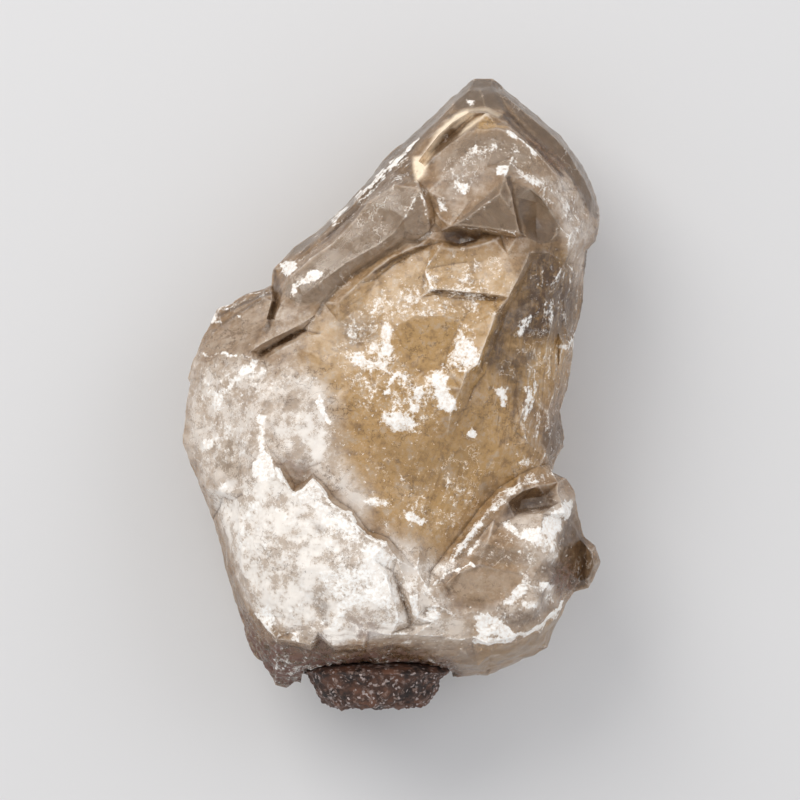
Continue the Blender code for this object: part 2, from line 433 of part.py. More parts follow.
def shell_depth(place):
    """How far the broken shells go down at a place on the front."""
    depth = 0.0
    for x, y, radius_x, radius_y, deepest in SHELLS:
        reach = ((place.x - x) / radius_x) ** 2 + ((place.y - y) / radius_y) ** 2
        if reach < 1.0:
            depth = max(depth, deepest * (1.0 - reach))
    return depth


def roughen(mesh):
    """Gives the faces the swell and grain of a natural crystal. The resting face stays flat."""
    mesh.normal_update()
    moves = []
    for vert in mesh.verts:
        if vert.co.z < RESTING_TOLERANCE:
            moves.append(Vector((0.0, 0.0, 0.0)))
            continue
        swell = noise.noise(vert.co / SWELL_SIZE) * SWELL_DEPTH
        grain = noise.noise(vert.co / GRAIN_SIZE + GRAIN_SHIFT) * GRAIN_DEPTH
        shell = shell_depth(vert.co) if vert.normal.z > SHELL_FACE_UP else 0.0
        moves.append(vert.normal * (swell + grain - shell))
    for vert, move in zip(mesh.verts, moves):
        vert.co += move
        vert.co.z = max(vert.co.z, 0.0)


def new_object(name, mesh, colour, roughness):
    """An object with one Principled material, made from a bmesh in millimetres."""
    data = bpy.data.meshes.new(name)
    mesh.to_mesh(data)
    mesh.free()
    piece = bpy.data.objects.new(name, data)
    bpy.context.scene.collection.objects.link(piece)
    material = bpy.data.materials.new(name)
    material.use_nodes = True
    shader = material.node_tree.nodes["Principled BSDF"]
    shader.inputs["Base Color"].default_value = colour
    shader.inputs["Roughness"].default_value = roughness
    shader.inputs["Metallic"].default_value = 0.0
    data.materials.append(material)
    return piece


def placed(point):
    """A drawn point, stretched to the driving dimensions and centred, in metres."""
    stretch_x = CRYSTAL_WIDTH / DRAWN_WIDTH
    stretch_y = CRYSTAL_LENGTH / DRAWN_LENGTH
    stretch_z = CRYSTAL_HEIGHT / DRAWN_HEIGHT
    return Vector((point.x * stretch_x, point.y * stretch_y, point.z * stretch_z)) * MM


def build_crystal():
    """The whole quartz crystal: front and back relief joined along the girdle."""
    mesh = bmesh.new()
    girdle = {}
    points, faces = relief(OUTLINE, FRONT_EDGES, FRONT_SPOTS)
    add_relief(mesh, girdle, points, faces, True)
    points, faces = relief(OUTLINE, BACK_EDGES, BACK_SPOTS)
    add_relief(mesh, girdle, points, faces, False)
    split_long_edges(mesh, EDGE_LENGTH)
    roughen(mesh)
    for vert in mesh.verts:
        vert.co = placed(vert.co)
    return new_object("citrine_crystal", mesh, CITRINE_COLOUR, CITRINE_ROUGHNESS)


def foot_mesh(margin, lump_depth):
    """The lens of host rock, grown by a margin all round, with lumps that only cut inwards."""
    mesh = bmesh.new()
    bmesh.ops.create_icosphere(mesh, subdivisions=3, radius=1.0)
    for vert in mesh.verts:
        direction = vert.co.copy()
        blocky = sum(abs(part) ** FOOT_BLOCKINESS for part in direction) ** (-1.0 / FOOT_BLOCKINESS)
        tall = FOOT_SEAT_DEPTH if direction.y > 0 else FOOT_RADII.y
        radii = Vector((FOOT_RADII.x, tall, FOOT_RADII.z)) + Vector((margin, margin, margin))
        place = FOOT_CENTRE + direction * blocky * radii
        lump = noise.voronoi(place / FOOT_LUMP_SIZE)[0][0]
        lump += noise.voronoi(place / FOOT_SMALL_LUMP_SIZE)[0][0] * FOOT_SMALL_LUMP_SHARE
        open_side = min(1.0, max(0.0, FOOT_LUMPS_START - direction.y) / FOOT_LUMPS_FADE)
        place -= direction * (lump * lump_depth * open_side)
        floor = FOOT_FLOOR - margin + lump * lump_depth * FOOT_FLOOR_WAVE
        place.y = max(place.y, floor)
        vert.co = placed(place)
    return mesh


def build_foot():
    """The remnant of host rock, and the seat that it leaves in the crystal."""
    foot = new_object("matrix_foot", foot_mesh(0.0, FOOT_LUMP_DEPTH), ROCK_COLOUR, ROCK_ROUGHNESS)
    seat = new_object("seat_guide", foot_mesh(SEAT_GAP, 0.0), ROCK_COLOUR, ROCK_ROUGHNESS)
    seat.hide_render = True
    seat.display_type = "WIRE"
    return foot, seat


def centre_on_common_box(pieces):
    """Moves the pieces so that the middle of their common box stands over the origin."""
    corners = [vert.co for piece in pieces for vert in piece.data.vertices]
    middle_x = (min(c.x for c in corners) + max(c.x for c in corners)) / 2
    middle_y = (min(c.y for c in corners) + max(c.y for c in corners)) / 2
    for piece in bpy.context.scene.objects:
        for vert in piece.data.vertices:
            vert.co.x -= middle_x
            vert.co.y -= middle_y


for leftover in list(bpy.data.objects):
    bpy.data.objects.remove(leftover)

crystal = build_crystal()
foot, seat = build_foot()
cut = crystal.modifiers.new("seat for the host rock", "BOOLEAN")
cut.operation = "DIFFERENCE"
cut.solver = "EXACT"
cut.object = seat
centre_on_common_box([crystal, foot])
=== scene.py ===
import math

import bmesh
import bpy
import numpy as np
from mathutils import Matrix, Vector, noise


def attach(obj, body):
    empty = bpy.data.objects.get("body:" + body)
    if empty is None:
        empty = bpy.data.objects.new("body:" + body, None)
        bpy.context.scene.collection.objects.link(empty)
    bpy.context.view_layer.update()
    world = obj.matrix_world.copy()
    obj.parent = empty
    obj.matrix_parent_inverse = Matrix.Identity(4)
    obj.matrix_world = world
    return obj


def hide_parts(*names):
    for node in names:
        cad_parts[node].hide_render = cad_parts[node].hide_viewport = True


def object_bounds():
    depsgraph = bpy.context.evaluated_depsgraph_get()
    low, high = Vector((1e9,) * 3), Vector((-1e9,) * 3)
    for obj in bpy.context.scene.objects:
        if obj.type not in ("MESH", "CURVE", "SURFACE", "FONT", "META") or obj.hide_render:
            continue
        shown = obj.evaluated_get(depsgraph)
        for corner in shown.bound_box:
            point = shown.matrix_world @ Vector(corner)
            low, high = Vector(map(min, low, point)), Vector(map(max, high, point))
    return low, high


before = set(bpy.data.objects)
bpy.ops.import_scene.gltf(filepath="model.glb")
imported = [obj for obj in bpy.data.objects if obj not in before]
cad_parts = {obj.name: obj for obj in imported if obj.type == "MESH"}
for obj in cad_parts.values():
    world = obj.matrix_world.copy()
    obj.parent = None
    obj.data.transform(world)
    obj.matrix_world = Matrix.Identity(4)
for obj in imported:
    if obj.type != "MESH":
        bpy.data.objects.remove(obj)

CAD_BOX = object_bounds()
MM = 0.001

# The citrine crystal
# One natural quartz point, grown fast to a shoulder on its left and a smaller crystal at its lower
# right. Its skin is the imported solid's, cut finer, with the ripples, flakes and pits of broken quartz.

FINE_EDGE = 0.66
COARSE_EDGE = 1.3
CUTTING_ROUNDS = 3
CRISP_ANGLE = 21


def refined(node, name, fine, coarse):
    """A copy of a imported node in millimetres, with short edges where the skin faces up or out."""
    mesh = bmesh.new()
    mesh.from_mesh(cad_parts[node].data)
    for vert in mesh.verts:
        vert.co /= MM
    bmesh.ops.remove_doubles(mesh, verts=mesh.verts[:], dist=0.002)
    bmesh.ops.triangulate(mesh, faces=mesh.faces[:])
    mesh.normal_update()
    for edge in mesh.edges:
        edge.smooth = edge.calc_face_angle(0.0) < math.radians(CRISP_ANGLE)
    for _ in range(CUTTING_ROUNDS):
        mesh.normal_update()
        long_edges = []
        for edge in mesh.edges:
            upward = sum(face.normal.z for face in edge.link_faces)
            if edge.calc_length() > (fine if upward > -0.3 else coarse):
                long_edges.append(edge)
        bmesh.ops.subdivide_edges(mesh, edges=long_edges, cuts=1)
        bmesh.ops.triangulate(mesh, faces=mesh.faces[:], quad_method="SHORT_EDGE")
    data = bpy.data.meshes.new(name)
    mesh.to_mesh(data)
    mesh.free()
    piece = bpy.data.objects.new(name, data)
    bpy.context.scene.collection.objects.link(piece)
    return piece


def places_of(data):
    """The vertices' places as an array, one row each."""
    flat = np.empty(len(data.vertices) * 3)
    data.vertices.foreach_get("co", flat)
    return flat.reshape(-1, 3)


def normals_of(data):
    """The vertices' normals as an array, one row each."""
    flat = np.empty(len(data.vertices) * 3)
    data.vertices.foreach_get("normal", flat)
    return flat.reshape(-1, 3)


def smooth(low, high, value):
    """0 below low, 1 above high, and a soft step between."""
    t = np.clip((value - low) / (high - low), 0.0, 1.0)
    return t * t * (3.0 - 2.0 * t)


def cloud(points, size, shift=0.0, octaves=3):
    """Smooth noise from about -1 to 1, with lumps of the given size in millimetres."""
    offset = Vector((shift, shift * 0.7, shift * 1.3))
    return np.array([
        noise.fractal(Vector(p) / size + offset, 0.8, 2.1, octaves, noise_basis="PERLIN_ORIGINAL")
        for p in points
    ])


def distance_to(line, flat):
    """How far each point on the plane is from a line of points."""
    nearest = np.full(len(flat), 1e9)
    for start, end in zip(line, line[1:]):
        a = np.array(start[:2])
        run = np.array(end[:2]) - a
        along = np.clip(((flat - a) @ run) / max(run @ run, 1e-9), 0.0, 1.0)
        nearest = np.minimum(nearest, np.linalg.norm(flat - a - along[:, None] * run, axis=1))
    return nearest


def depth_in(outline, flat):
    """How far each point is inside an outline, below zero outside it."""
    inside = np.zeros(len(flat), bool)
    x, y = flat[:, 0], flat[:, 1]
    for (x1, y1), (x2, y2) in zip(outline, outline[1:] + outline[:1]):
        if y1 != y2:
            crosses = (y1 > y) != (y2 > y)
            inside ^= crosses & (x < (x2 - x1) * (y - y1) / (y2 - y1) + x1)
    away = distance_to(outline + outline[:1], flat)
    return np.where(inside, away, -away)


# Faces that more than one coat of the stone follows, as outlines in millimetres
CAP = [
    (14.0, 57.5), (20.0, 57.0), (20.4, 51.2), (17.0, 51.2), (12.0, 50.8), (9.6, 52.4),
]
LONG_SLAB = [
    (5.2, 36.4), (0.6, 37.2), (-3.8, 34.4), (-6.5, 30.9), (-10.5, 26.7), (-17.6, 21.2),
    (-19.5, 18.6), (-17.0, 16.0), (-12.2, 16.4), (-7.6, 20.9), (-0.6, 25.4), (6.4, 28.0),
]
TRIANGLE = [
    (20.2, 38.4), (10.9, 29.9), (22.8, 28.8),
]
LENS = [
    (21.8, 37.4), (24.8, 36.4), (26.8, 34.7), (28.4, 32.6), (29.6, 30.6), (29.6, 28.4),
    (28.6, 27.2), (26.2, 27.2), (24.2, 28.0), (23.0, 31.4), (22.2, 35.0),
]
HONEY_WINDOW = [
    (1.2, 12.4), (4.5, 14.0), (9.5, 13.9), (12.6, 12.6), (10.5, 9.0), (9.4, 5.3), (5.5, 3.9),
    (2.0, 5.9), (0.6, 9.2),
]
OVER_THE_CLEAR_WINDOW = [
    (14.2, -29.8), (15.6, -26.2), (26.6, -28.6), (26.4, -30.4),
]
CLEAR_WINDOW = [
    (10.2, -34.8), (12.4, -31.5), (15.6, -30.2), (19.6, -31.2), (23.2, -31.9), (20.6, -35.0),
    (17.6, -36.8), (13.4, -36.5),
]
SHOULDER_FACE = [
    (-33.4, 9.4), (-30.3, 12.4), (-26.6, 14.8), (-22.8, 17.0), (-21.8, 16.4), (-22.6, 13.4),
    (-24.0, 10.6), (-25.0, 7.6), (-30.0, 7.4), (-35.4, 7.0),
]
STRIP_BY_THE_POINT = [
    (25.0, 46.2), (31.0, 41.4), (30.6, 39.6), (27.8, 42.2), (24.4, 45.2),
]

# White frost: how solid, how soft its edge is in millimetres, and its outline
FROST = {
    "bright wedge": (1.0, 0.4, [
        (-24.2, -3.6), (-22.4, -3.8), (-22.2, -8.8), (-21.2, -12.4), (-20.2, -14.0),
        (-22.5, -15.4), (-24.8, -14.6), (-24.2, -12.0), (-23.6, -8.2)]),
    "white diagonal": (0.92, 0.6, [
        (-25.2, 6.0), (-22.8, 6.2), (-24.6, 4.0), (-27.5, 1.6), (-29.4, -0.6), (-30.4, -2.6),
        (-32.6, -2.2), (-31.4, 0.0), (-28.6, 3.2), (-26.6, 5.2)]),
    "white block": (0.9, 0.4, [(-34.2, -7.6), (-31.6, -8.0), (-31.4, -9.6), (-34.0, -9.8)]),
    "white chip": (1.0, 0.3, [(-31.2, -15.4), (-29.0, -15.8), (-29.2, -17.0), (-31.0, -16.6)]),
    "white face": (0.46, 1.2, [
        (-24.8, -13.0), (-20.5, -13.0), (-18.8, -15.3), (-17.4, -17.7), (-15.6, -16.9),
        (-13.9, -15.3), (-12.8, -16.5), (-9.9, -19.8), (-7.3, -21.2), (-6.0, -23.5),
        (-4.8, -24.9), (-1.0, -26.4), (1.0, -29.0), (0.6, -31.5), (1.8, -34.8), (2.8, -38.2),
        (3.2, -40.2), (0.0, -42.2), (-4.0, -41.8), (-5.0, -44.2), (-10.3, -44.4),
        (-13.0, -42.0), (-14.3, -43.4), (-17.0, -41.4), (-21.0, -39.0), (-24.6, -36.0),
        (-27.4, -31.0), (-29.0, -26.0), (-31.8, -21.5), (-33.0, -17.0), (-30.5, -17.2),
        (-28.0, -17.6), (-26.2, -18.6)]),
    "brow of the white face": (0.70, 1.0, [
        (-18.5, -15.6), (-17.4, -17.7), (-15.6, -16.9), (-13.9, -15.3), (-12.8, -16.5),
        (-9.9, -19.8), (-7.3, -21.2), (-6.0, -23.5), (-4.8, -24.9), (-1.0, -26.4),
        (1.0, -29.0), (0.2, -31.5), (-2.0, -31.0), (-5.0, -29.0), (-9.0, -26.0),
        (-12.0, -23.5), (-14.5, -20.5), (-17.5, -19.0)]),
    "bright heart of the face": (0.78, 1.6, [
        (-12.0, -30.0), (-4.0, -29.0), (0.4, -32.0), (1.3, -35.0), (2.1, -38.0), (-1.0, -39.0),
        (-4.0, -38.0), (-7.0, -39.0), (-9.0, -43.0), (-12.0, -41.5), (-10.6, -37.5),
        (-13.5, -34.0), (-14.5, -31.0)]),
    "bright left of the face": (0.80, 1.2, [
        (-25.6, -18.4), (-22.5, -17.4), (-22.6, -21.0), (-25.2, -22.0), (-25.4, -28.0),
        (-26.6, -29.4), (-28.4, -26.0), (-27.0, -21.0)]),
    "bright foot of the face": (0.9, 0.7, [(-24.6, -38.4), (-22, -36.8), (-20.4, -40), (-22, -42.4)]),
    "chip on the foot": (0.9, 0.4, [(-18.6, -41.8), (-16.8, -41.8), (-17.0, -43.4), (-18.4, -43.2)]),
    "patch left of the window": (0.8, 0.5, [
        (-2.8, 12.6), (-1.0, 13.2), (0.0, 11.6), (0.4, 8.2), (-0.6, 6.2), (-1.8, 7.2),
        (-2.4, 10.0)]),
    "patch low left of the window": (0.84, 0.5, [
        (-9.0, 7.6), (-6.2, 8.0), (-4.4, 7.0), (-2.0, 6.2), (0.0, 5.4), (-0.5, 3.6),
        (-3.5, 3.8), (-5.2, 4.2), (-6.4, 5.2), (-8.2, 5.6)]),
    "tail of that patch": (0.66, 0.5, [
        (-8.6, 4.0), (-7.4, 4.0), (-7.0, 2.0), (-5.4, 0.0), (-6.2, -0.6), (-7.8, 1.2)]),
    "patch below the window": (1.0, 0.5, [
        (6.2, 3.4), (9.8, 3.6), (10.2, 0.6), (11.6, -0.6), (11.2, -2.8), (10.0, -3.4),
        (8.6, -2.6), (7.4, -0.6), (7.4, 1.8)]),
    "patch right of the window": (0.76, 0.6, [
        (10.2, 9.8), (12.4, 11.4), (14.8, 9.4), (16.0, 7.4), (15.4, 5.4), (13.4, 3.4),
        (11.6, 3.6), (10.4, 5.8)]),
    "patch in the honey": (0.84, 0.5, [
        (0.0, -3.0), (2.4, -2.6), (4.8, -4.8), (4.2, -6.0), (6.0, -6.6), (5.0, -7.2),
        (1.8, -6.4), (0.0, -6.8), (-0.6, -5.4), (-2.6, -5.0), (-1.8, -3.0)]),
    "small patch in the honey": (0.95, 0.3, [(3.2, -1.4), (5.0, -1.6), (5.0, -3.0), (3.6, -3.0)]),
    "lone patch": (0.95, 0.35, [(14.0, -5.6), (15.4, -6.2), (15.2, -7.6), (13.8, -7.4)]),
    "upright patch": (0.8, 0.4, [(18.4, 1.6), (20.6, 1.6), (20.4, -2.2), (19.2, -2.2)]),
    "second upright patch": (0.76, 0.5, [
        (23.4, 1.6), (25.4, 1.8), (25.2, -2.4), (24.0, -5.0), (22.8, -4.6), (23.4, -1.8)]),
    "slanted patch": (0.72, 0.5, [
        (21.2, 10.4), (22.6, 12.2), (24.4, 14.6), (26.0, 14.8), (25.0, 12.4), (23.0, 10.2)]),
    "fleck above the window": (0.8, 0.4, [(3.8, 19.8), (5.2, 20.0), (5.4, 18.0), (4.2, 17.8)]),
    "vein under the lip": (0.72, 0.3, [(6.4, 25.0), (7.2, 25.0), (7.0, 22.0), (6.2, 21.6)]),
    "flecks left of the arc": (0.55, 0.5, [(3.8, 2.8), (6.4, 2.4), (6.2, 0.4), (3.8, 0.6)]),
    "pink patch": (0.5, 0.6, [(11.4, -10.9), (14.4, -10.9), (14.3, -13.5), (12.0, -13.7)]),
    "patch low in the honey": (0.9, 0.4, [
        (1.6, -20.5), (4.0, -20.8), (7.0, -22.2), (5.0, -23.0), (2.4, -22.2)]),
    "patch above the brow": (0.7, 0.6, [
        (-6.0, -19.0), (-2.5, -18.2), (0.0, -19.0), (-1.0, -20.2), (-5.0, -20.4)]),
    "patch in the cap": (0.8, 0.5, [(13.2, 53.3), (14.8, 53.5), (15.0, 51.9), (13.4, 51.9)]),
    "patch on the dome": (0.74, 0.5, [
        (13.2, 44.6), (15.4, 44.4), (16.6, 43.2), (15.4, 42.6), (13.8, 43.0)]),
    "bright chip on the dome": (0.95, 0.3, [
        (18.4, 40.4), (20.6, 40.7), (20.4, 39.3), (18.6, 38.8)]),
    "patch left of the triangle": (0.76, 0.6, [
        (10.8, 38.6), (13.0, 38.0), (14.8, 37.6), (13.4, 35.0), (11.6, 34.8), (11.0, 36.8)]),
    "patch by the strips": (0.76, 0.5, [(8.0, 35.1), (10.0, 34.9), (10.1, 32.8), (8.3, 32.5)]),
    "veil right of the lens": (0.72, 0.7, [
        (22.8, 41.0), (25.4, 39.2), (27.6, 36.8), (29.4, 34.2), (28.4, 33.6), (26.0, 36.4),
        (23.4, 37.8), (21.6, 39.4)]),
    "bright strip on the dome": (0.84, 0.4, [
        (20.0, 47.2), (22.2, 46.9), (24.2, 45.0), (26.6, 42.6), (25.2, 42.8), (22.6, 45.2),
        (20.4, 46.2)]),
    "veil on the slab": (0.5, 0.7, [
        (0.4, 34.6), (4.4, 35.9), (4.9, 34.2), (2.4, 31.0), (0.2, 32.8)]),
    "frosted right edge": (0.46, 1.2, [
        (28.6, 38.4), (31.0, 39.6), (34.0, 36.0), (36.0, 32.6), (36.2, 29.0), (34.4, 26.2),
        (31.0, 25.6), (30.2, 30.0), (29.4, 33.6)]),
    "patch on the left bevel": (0.7, 0.4, [(-11.0, 31.0), (-9.4, 31.4), (-10.0, 29.8), (-11.6, 29.8)]),
    "bright end of the slab": (0.97, 0.4, [
        (-20.1, 24.0), (-17.0, 24.3), (-16.6, 22.4), (-18.6, 20.8), (-20.0, 21.8)]),
    "wedge on the slab": (0.86, 0.4, [
        (-12.0, 22.8), (-12.8, 20.6), (-15.6, 19.2), (-17.4, 17.0), (-18.2, 17.4),
        (-17.2, 19.6), (-15.0, 22.0)]),
    "chip on the shoulder": (0.92, 0.3, [(-32.8, 14.2), (-31.0, 14.6), (-30.6, 13.0), (-32.2, 12.8)]),
    "fleck on the shoulder": (0.7, 0.3, [(-27.6, 14.7), (-26.3, 14.4), (-26.5, 13.8), (-28.0, 13.9)]),
    "prow of the small crystal": (0.92, 0.5, [
        (19.0, -22.6), (20.6, -22.2), (23.0, -24.0), (25.0, -23.5), (27.4, -22.0),
        (29.0, -20.6), (31.0, -18.4), (32.8, -19.0), (32.6, -21.4), (30.6, -22.0),
        (29.4, -25.0), (28.6, -28.2), (26.0, -27.2), (22.4, -25.4)]),
    "below the prow": (0.6, 0.5, [(28.0, -27.6), (29.8, -27.0), (30.4, -29.6), (27.6, -29.8)]),
    "vein in the small crystal": (0.8, 0.5, [
        (22.6, -31.6), (24.8, -31.3), (25.2, -34.0), (23.8, -35.4), (22.0, -37.0),
        (20.4, -37.6), (19.2, -36.8), (21.6, -34.4)]),
    "second vein": (0.84, 0.4, [
        (25.6, -33.6), (28.0, -33.2), (29.8, -34.4), (28.8, -35.0), (26.2, -34.6)]),
    "pale facet": (0.7, 0.4, [(22.6, -36.0), (25.6, -36.2), (26.3, -38.0), (23.4, -38.4)]),
    "pale facet by the edge": (0.75, 0.4, [
        (27.8, -35.2), (29.3, -36.4), (28.6, -38.0), (27.4, -36.6)]),
    "low white face": (0.86, 0.5, [
        (14.1, -38.6), (17.0, -38.8), (20.0, -40.2), (22.0, -42.2), (25.6, -41.2),
        (28.8, -38.8), (30.4, -37.0), (29.4, -39.8), (26.0, -42.4), (21.8, -43.8),
        (17.0, -44.3), (15.0, -43.9), (14.6, -41.0)]),
    "ridge by the window": (0.72, 0.5, [
        (13.8, -29.6), (15.4, -27.6), (17.4, -25.6), (15.0, -25.6), (13.0, -28.0)]),
    "fleck over the window": (0.75, 0.4, [(21.0, -27.0), (24.6, -28.2), (24.0, -29.0), (21.6, -28.4)]),
    "bright facet by the gully": (1.0, 0.25, [
        (3.4, -35.4), (5.0, -35.2), (4.8, -37.4), (3.9, -39.6), (3.3, -38.0)]),
    "second facet by the gully": (0.8, 0.4, [(6.4, -37.0), (8.6, -37.0), (8.4, -39.6), (6.0, -40.0)]),
    "veil above the gully": (0.6, 0.7, [(2.0, -31.0), (9.0, -32.4), (8.6, -34.4), (3.4, -34.6)]),
    "knob": (0.6, 0.4, [(34.8, -26.8), (36.3, -27.4), (35.2, -29.2)]),
    "right of the honey": (0.5, 0.7, [(21.2, -10.6), (25.8, -10.0), (24.8, -13.4), (21.2, -13.6)]),
    "flecked base": (0.54, 1.0, [
        (-23.0, -43.6), (-14.0, -46.2), (0.0, -45.4), (11.0, -47.4), (12.0, -51.0),
        (-16.0, -52.0), (-22.0, -52.0)]),
    "flecked dome": (0.54, 1.5, [
        (9.0, 40.0), (14.0, 45.0), (20.0, 46.6), (25.0, 44.0), (30.0, 39.0), (33.6, 33.0),
        (35.6, 28.0), (31.0, 26.0), (28.6, 34.0), (24.0, 39.0), (18.0, 41.6), (14.6, 36.0),
        (11.0, 31.0)]),
    "flecked left bevel": (0.44, 1.0, [
        (3.0, 46.0), (4.6, 38.2), (-4.0, 34.6), (-11.0, 27.0), (-19.0, 21.0), (-19.0, 24.0),
        (-8.0, 34.6)]),
    "flecked right edge": (0.42, 1.2, [
        (24.0, 24.0), (34.6, 26.0), (34.0, 12.0), (31.0, -2.0), (28.0, -14.0), (22.0, -14.0),
        (22.0, 0.0), (25.0, 12.0)]),
    "flecked foot": (0.48, 1.4, [
        (0.0, -28.0), (10.0, -30.0), (10.0, -36.0), (14.0, -39.0), (14.0, -45.0),
        (-4.0, -46.0), (-20.0, -45.0), (-24.0, -40.0), (-10.0, -42.0), (1.0, -41.0)]),
    "flecked hollow": (0.55, 2.4, [
        (-9.0, 15.5), (-4.0, 20.0), (2.0, 22.0), (8.0, 24.0), (15.0, 25.5), (21.0, 24.5),
        (21.0, 20.0), (18.0, 16.0), (16.0, 10.0), (14.0, 4.0), (11.0, -4.0), (6.0, -8.5),
        (-3.0, -7.0), (-9.0, -3.0), (-10.0, 4.0), (-11.0, 9.0)]),
    "flecked honey": (0.42, 2.5, [
        (-9.0, -4.0), (6.0, -9.0), (14.0, -8.0), (20.0, -12.0), (17.0, -19.0), (11.0, -27.0),
        (4.0, -28.0), (-2.0, -23.0), (-6.0, -18.0), (-10.0, -10.0)]),
    "flecked left flank": (0.50, 2.0, [
        (-35.0, 5.0), (-20.0, 6.0), (-12.0, 5.0), (-14.0, 0.0), (-21.0, -2.0), (-24.0, -12.0),
        (-34.0, -15.5), (-36.0, -8.0), (-35.6, 0.0)]),
    "flecked small crystal": (0.50, 2.0, [
        (20.0, -23.0), (30.0, -18.0), (31.0, -30.0), (28.0, -38.0), (20.0, -43.0),
        (14.0, -38.0), (18.0, -37.0), (23.0, -32.0), (14.0, -29.0)]),
}

# Frost along edges, and a painted highlight along the upper left bevel: how solid, half its width in
# millimetres, and the line
FROST_AND_HIGHLIGHT_LINES = {
    "arc under the window": (0.86, 0.45, [(-1.0, 0.2), (-0.4, 2.4), (1.4, 3.4), (2.4, 3.2)]),
    # Painted highlight along the upper left bevel, in these two streaks
    "streak along the left bevel": (0.97, 0.42, [(4.6, 45.4), (0.0, 41.0), (-5.0, 36.4)]),
    "lower streak": (0.7, 0.5, [(-5.0, 36.4), (-8.0, 33.6), (-10.5, 31.4)]),
    "shoulder band": (0.5, 0.5, [(-31.0, 15.0), (-26.6, 16.8), (-22.0, 18.4)]),
    "foot of the shoulder": (0.62, 0.4, [(-34.6, 7.4), (-30.0, 7.2), (-25.6, 6.8)]),
    "ridge of the small crystal": (0.60, 0.9, [
        (28.4, -14.0), (25.6, -14.7), (22.8, -15.9), (19.6, -18.5), (17.0, -21.4),
        (15.0, -23.7), (12.4, -27.1), (10.6, -30.1), (8.7, -32.7)]),
    "curved rim": (0.97, 0.35, [(30.2, 8.8), (31.4, 8.4), (32.4, 9.2), (33.2, 10.8)]),
    "edge of the triangle": (0.75, 0.2, [(12.0, 29.8), (16.0, 29.6), (22.4, 28.9)]),
    "fold of the triangle": (0.5, 0.25, [(19.3, 35.4), (16.4, 33.4), (13.4, 31.2)]),
    "strip beside the slab": (0.8, 0.22, [(5.2, 36.2), (6.3, 33.0), (6.8, 30.4)]),
    "rim of the clear window": (0.8, 0.25, [(8.8, -32.6), (11.4, -31.0), (14.6, -29.9)]),
    "lower edge of the small crystal": (1.0, 0.4, [
        (15.0, -44.1), (20.0, -43.7), (25.4, -41.7), (28.8, -39.2), (30.4, -37.2)]),
    "brow": (1.0, 0.35, [
        (-20.4, -13.4), (-18.9, -15.4), (-17.4, -17.8), (-15.6, -17.0), (-13.9, -15.4),
        (-9.9, -19.9), (-7.3, -21.3), (-6.0, -23.6), (-1.0, -26.5)]),
    "corner of the pale face": (0.9, 0.5, [(-12.9, -0.8), (-12.2, -2.6), (-11.0, -4.6)]),
}

# Thin milky film: how thick, how soft its edge is, and its outline
FILM = {
    "left flank": (0.66, 1.5, [
        (-36.5, 6.6), (-24.0, 7.0), (-21.0, 5.0), (-14.0, 5.0), (-10.0, 0.0), (-9.6, -8.0),
        (-7.0, -13.0), (-3.0, -19.0), (-5.0, -23.0), (-13.0, -15.0), (-20.0, -13.0),
        (-25.0, -15.0), (-33.5, -17.0), (-35.5, -13.0), (-37.5, -8.0), (-36.8, 0.0)]),
    "pale face": (0.85, 0.4, [
        (-20.0, -2.8), (-13.2, -0.9), (-11.4, -3.2), (-10.2, -8.0), (-12.2, -12.0),
        (-15.2, -13.0), (-18.9, -10.8), (-20.9, -6.4)]),
    "white face": (1.0, 0.8, [
        (-25.0, -13.0), (-20.5, -13.0), (-17.4, -17.7), (-13.9, -15.3), (-9.9, -19.8),
        (-6.0, -23.5), (1.0, -29.0), (1.8, -34.8), (3.2, -40.2), (0.0, -42.6), (-10.0, -44.4),
        (-17.0, -43.0), (-24.6, -38.0), (-28.6, -29.0), (-33.0, -17.0)]),
    "below the honey": (0.66, 1.5, [
        (-1.0, -24.0), (4.0, -26.0), (9.0, -29.0), (11.5, -30.5), (9.0, -34.0), (11.0, -37.0),
        (14.0, -39.0), (14.6, -44.0), (8.0, -44.8), (0.0, -43.0), (3.0, -40.0), (1.0, -34.0)]),
    "long slab": (0.26, 0.5, LONG_SLAB),
    "dome": (0.22, 1.0, [
        (8.0, 42.0), (13.0, 46.4), (19.0, 47.0), (23.0, 45.0), (29.0, 39.4), (27.0, 36.0),
        (20.0, 38.8), (14.0, 34.0), (10.0, 32.0), (8.0, 37.0)]),
    "right edge": (0.55, 1.0, [
        (28.0, 38.0), (31.4, 39.6), (36.0, 33.0), (36.4, 29.0), (34.4, 26.0), (34.4, 20.0),
        (33.0, 20.0), (31.0, 26.0), (30.2, 30.0), (29.0, 34.0)]),
    "small crystal": (0.45, 1.0, [
        (20.0, -22.0), (30.6, -17.0), (33.0, -20.0), (30.0, -27.0), (30.0, -37.0),
        (25.0, -41.0), (15.0, -44.0), (14.0, -38.0), (20.0, -37.0), (24.0, -31.0)]),
    "shoulder face": (0.2, 0.5, SHOULDER_FACE),
    "clear window": (0.18, 0.4, CLEAR_WINDOW),
    "below the shoulder": (0.3, 1.0, [
        (-25.0, 7.0), (-21.0, 13.0), (-19.6, 17.0), (-14.0, 15.0), (-12.0, 11.0), (-17.0, 8.0)]),
    "hollow": (0.16, 2.0, [
        (-6.0, 19.0), (8.0, 25.0), (22.0, 25.0), (21.0, 19.0), (13.0, 14.6), (4.0, 15.0),
        (-3.0, 12.0), (-10.0, 2.0), (-14.0, 8.0), (-12.0, 14.0)]),
}

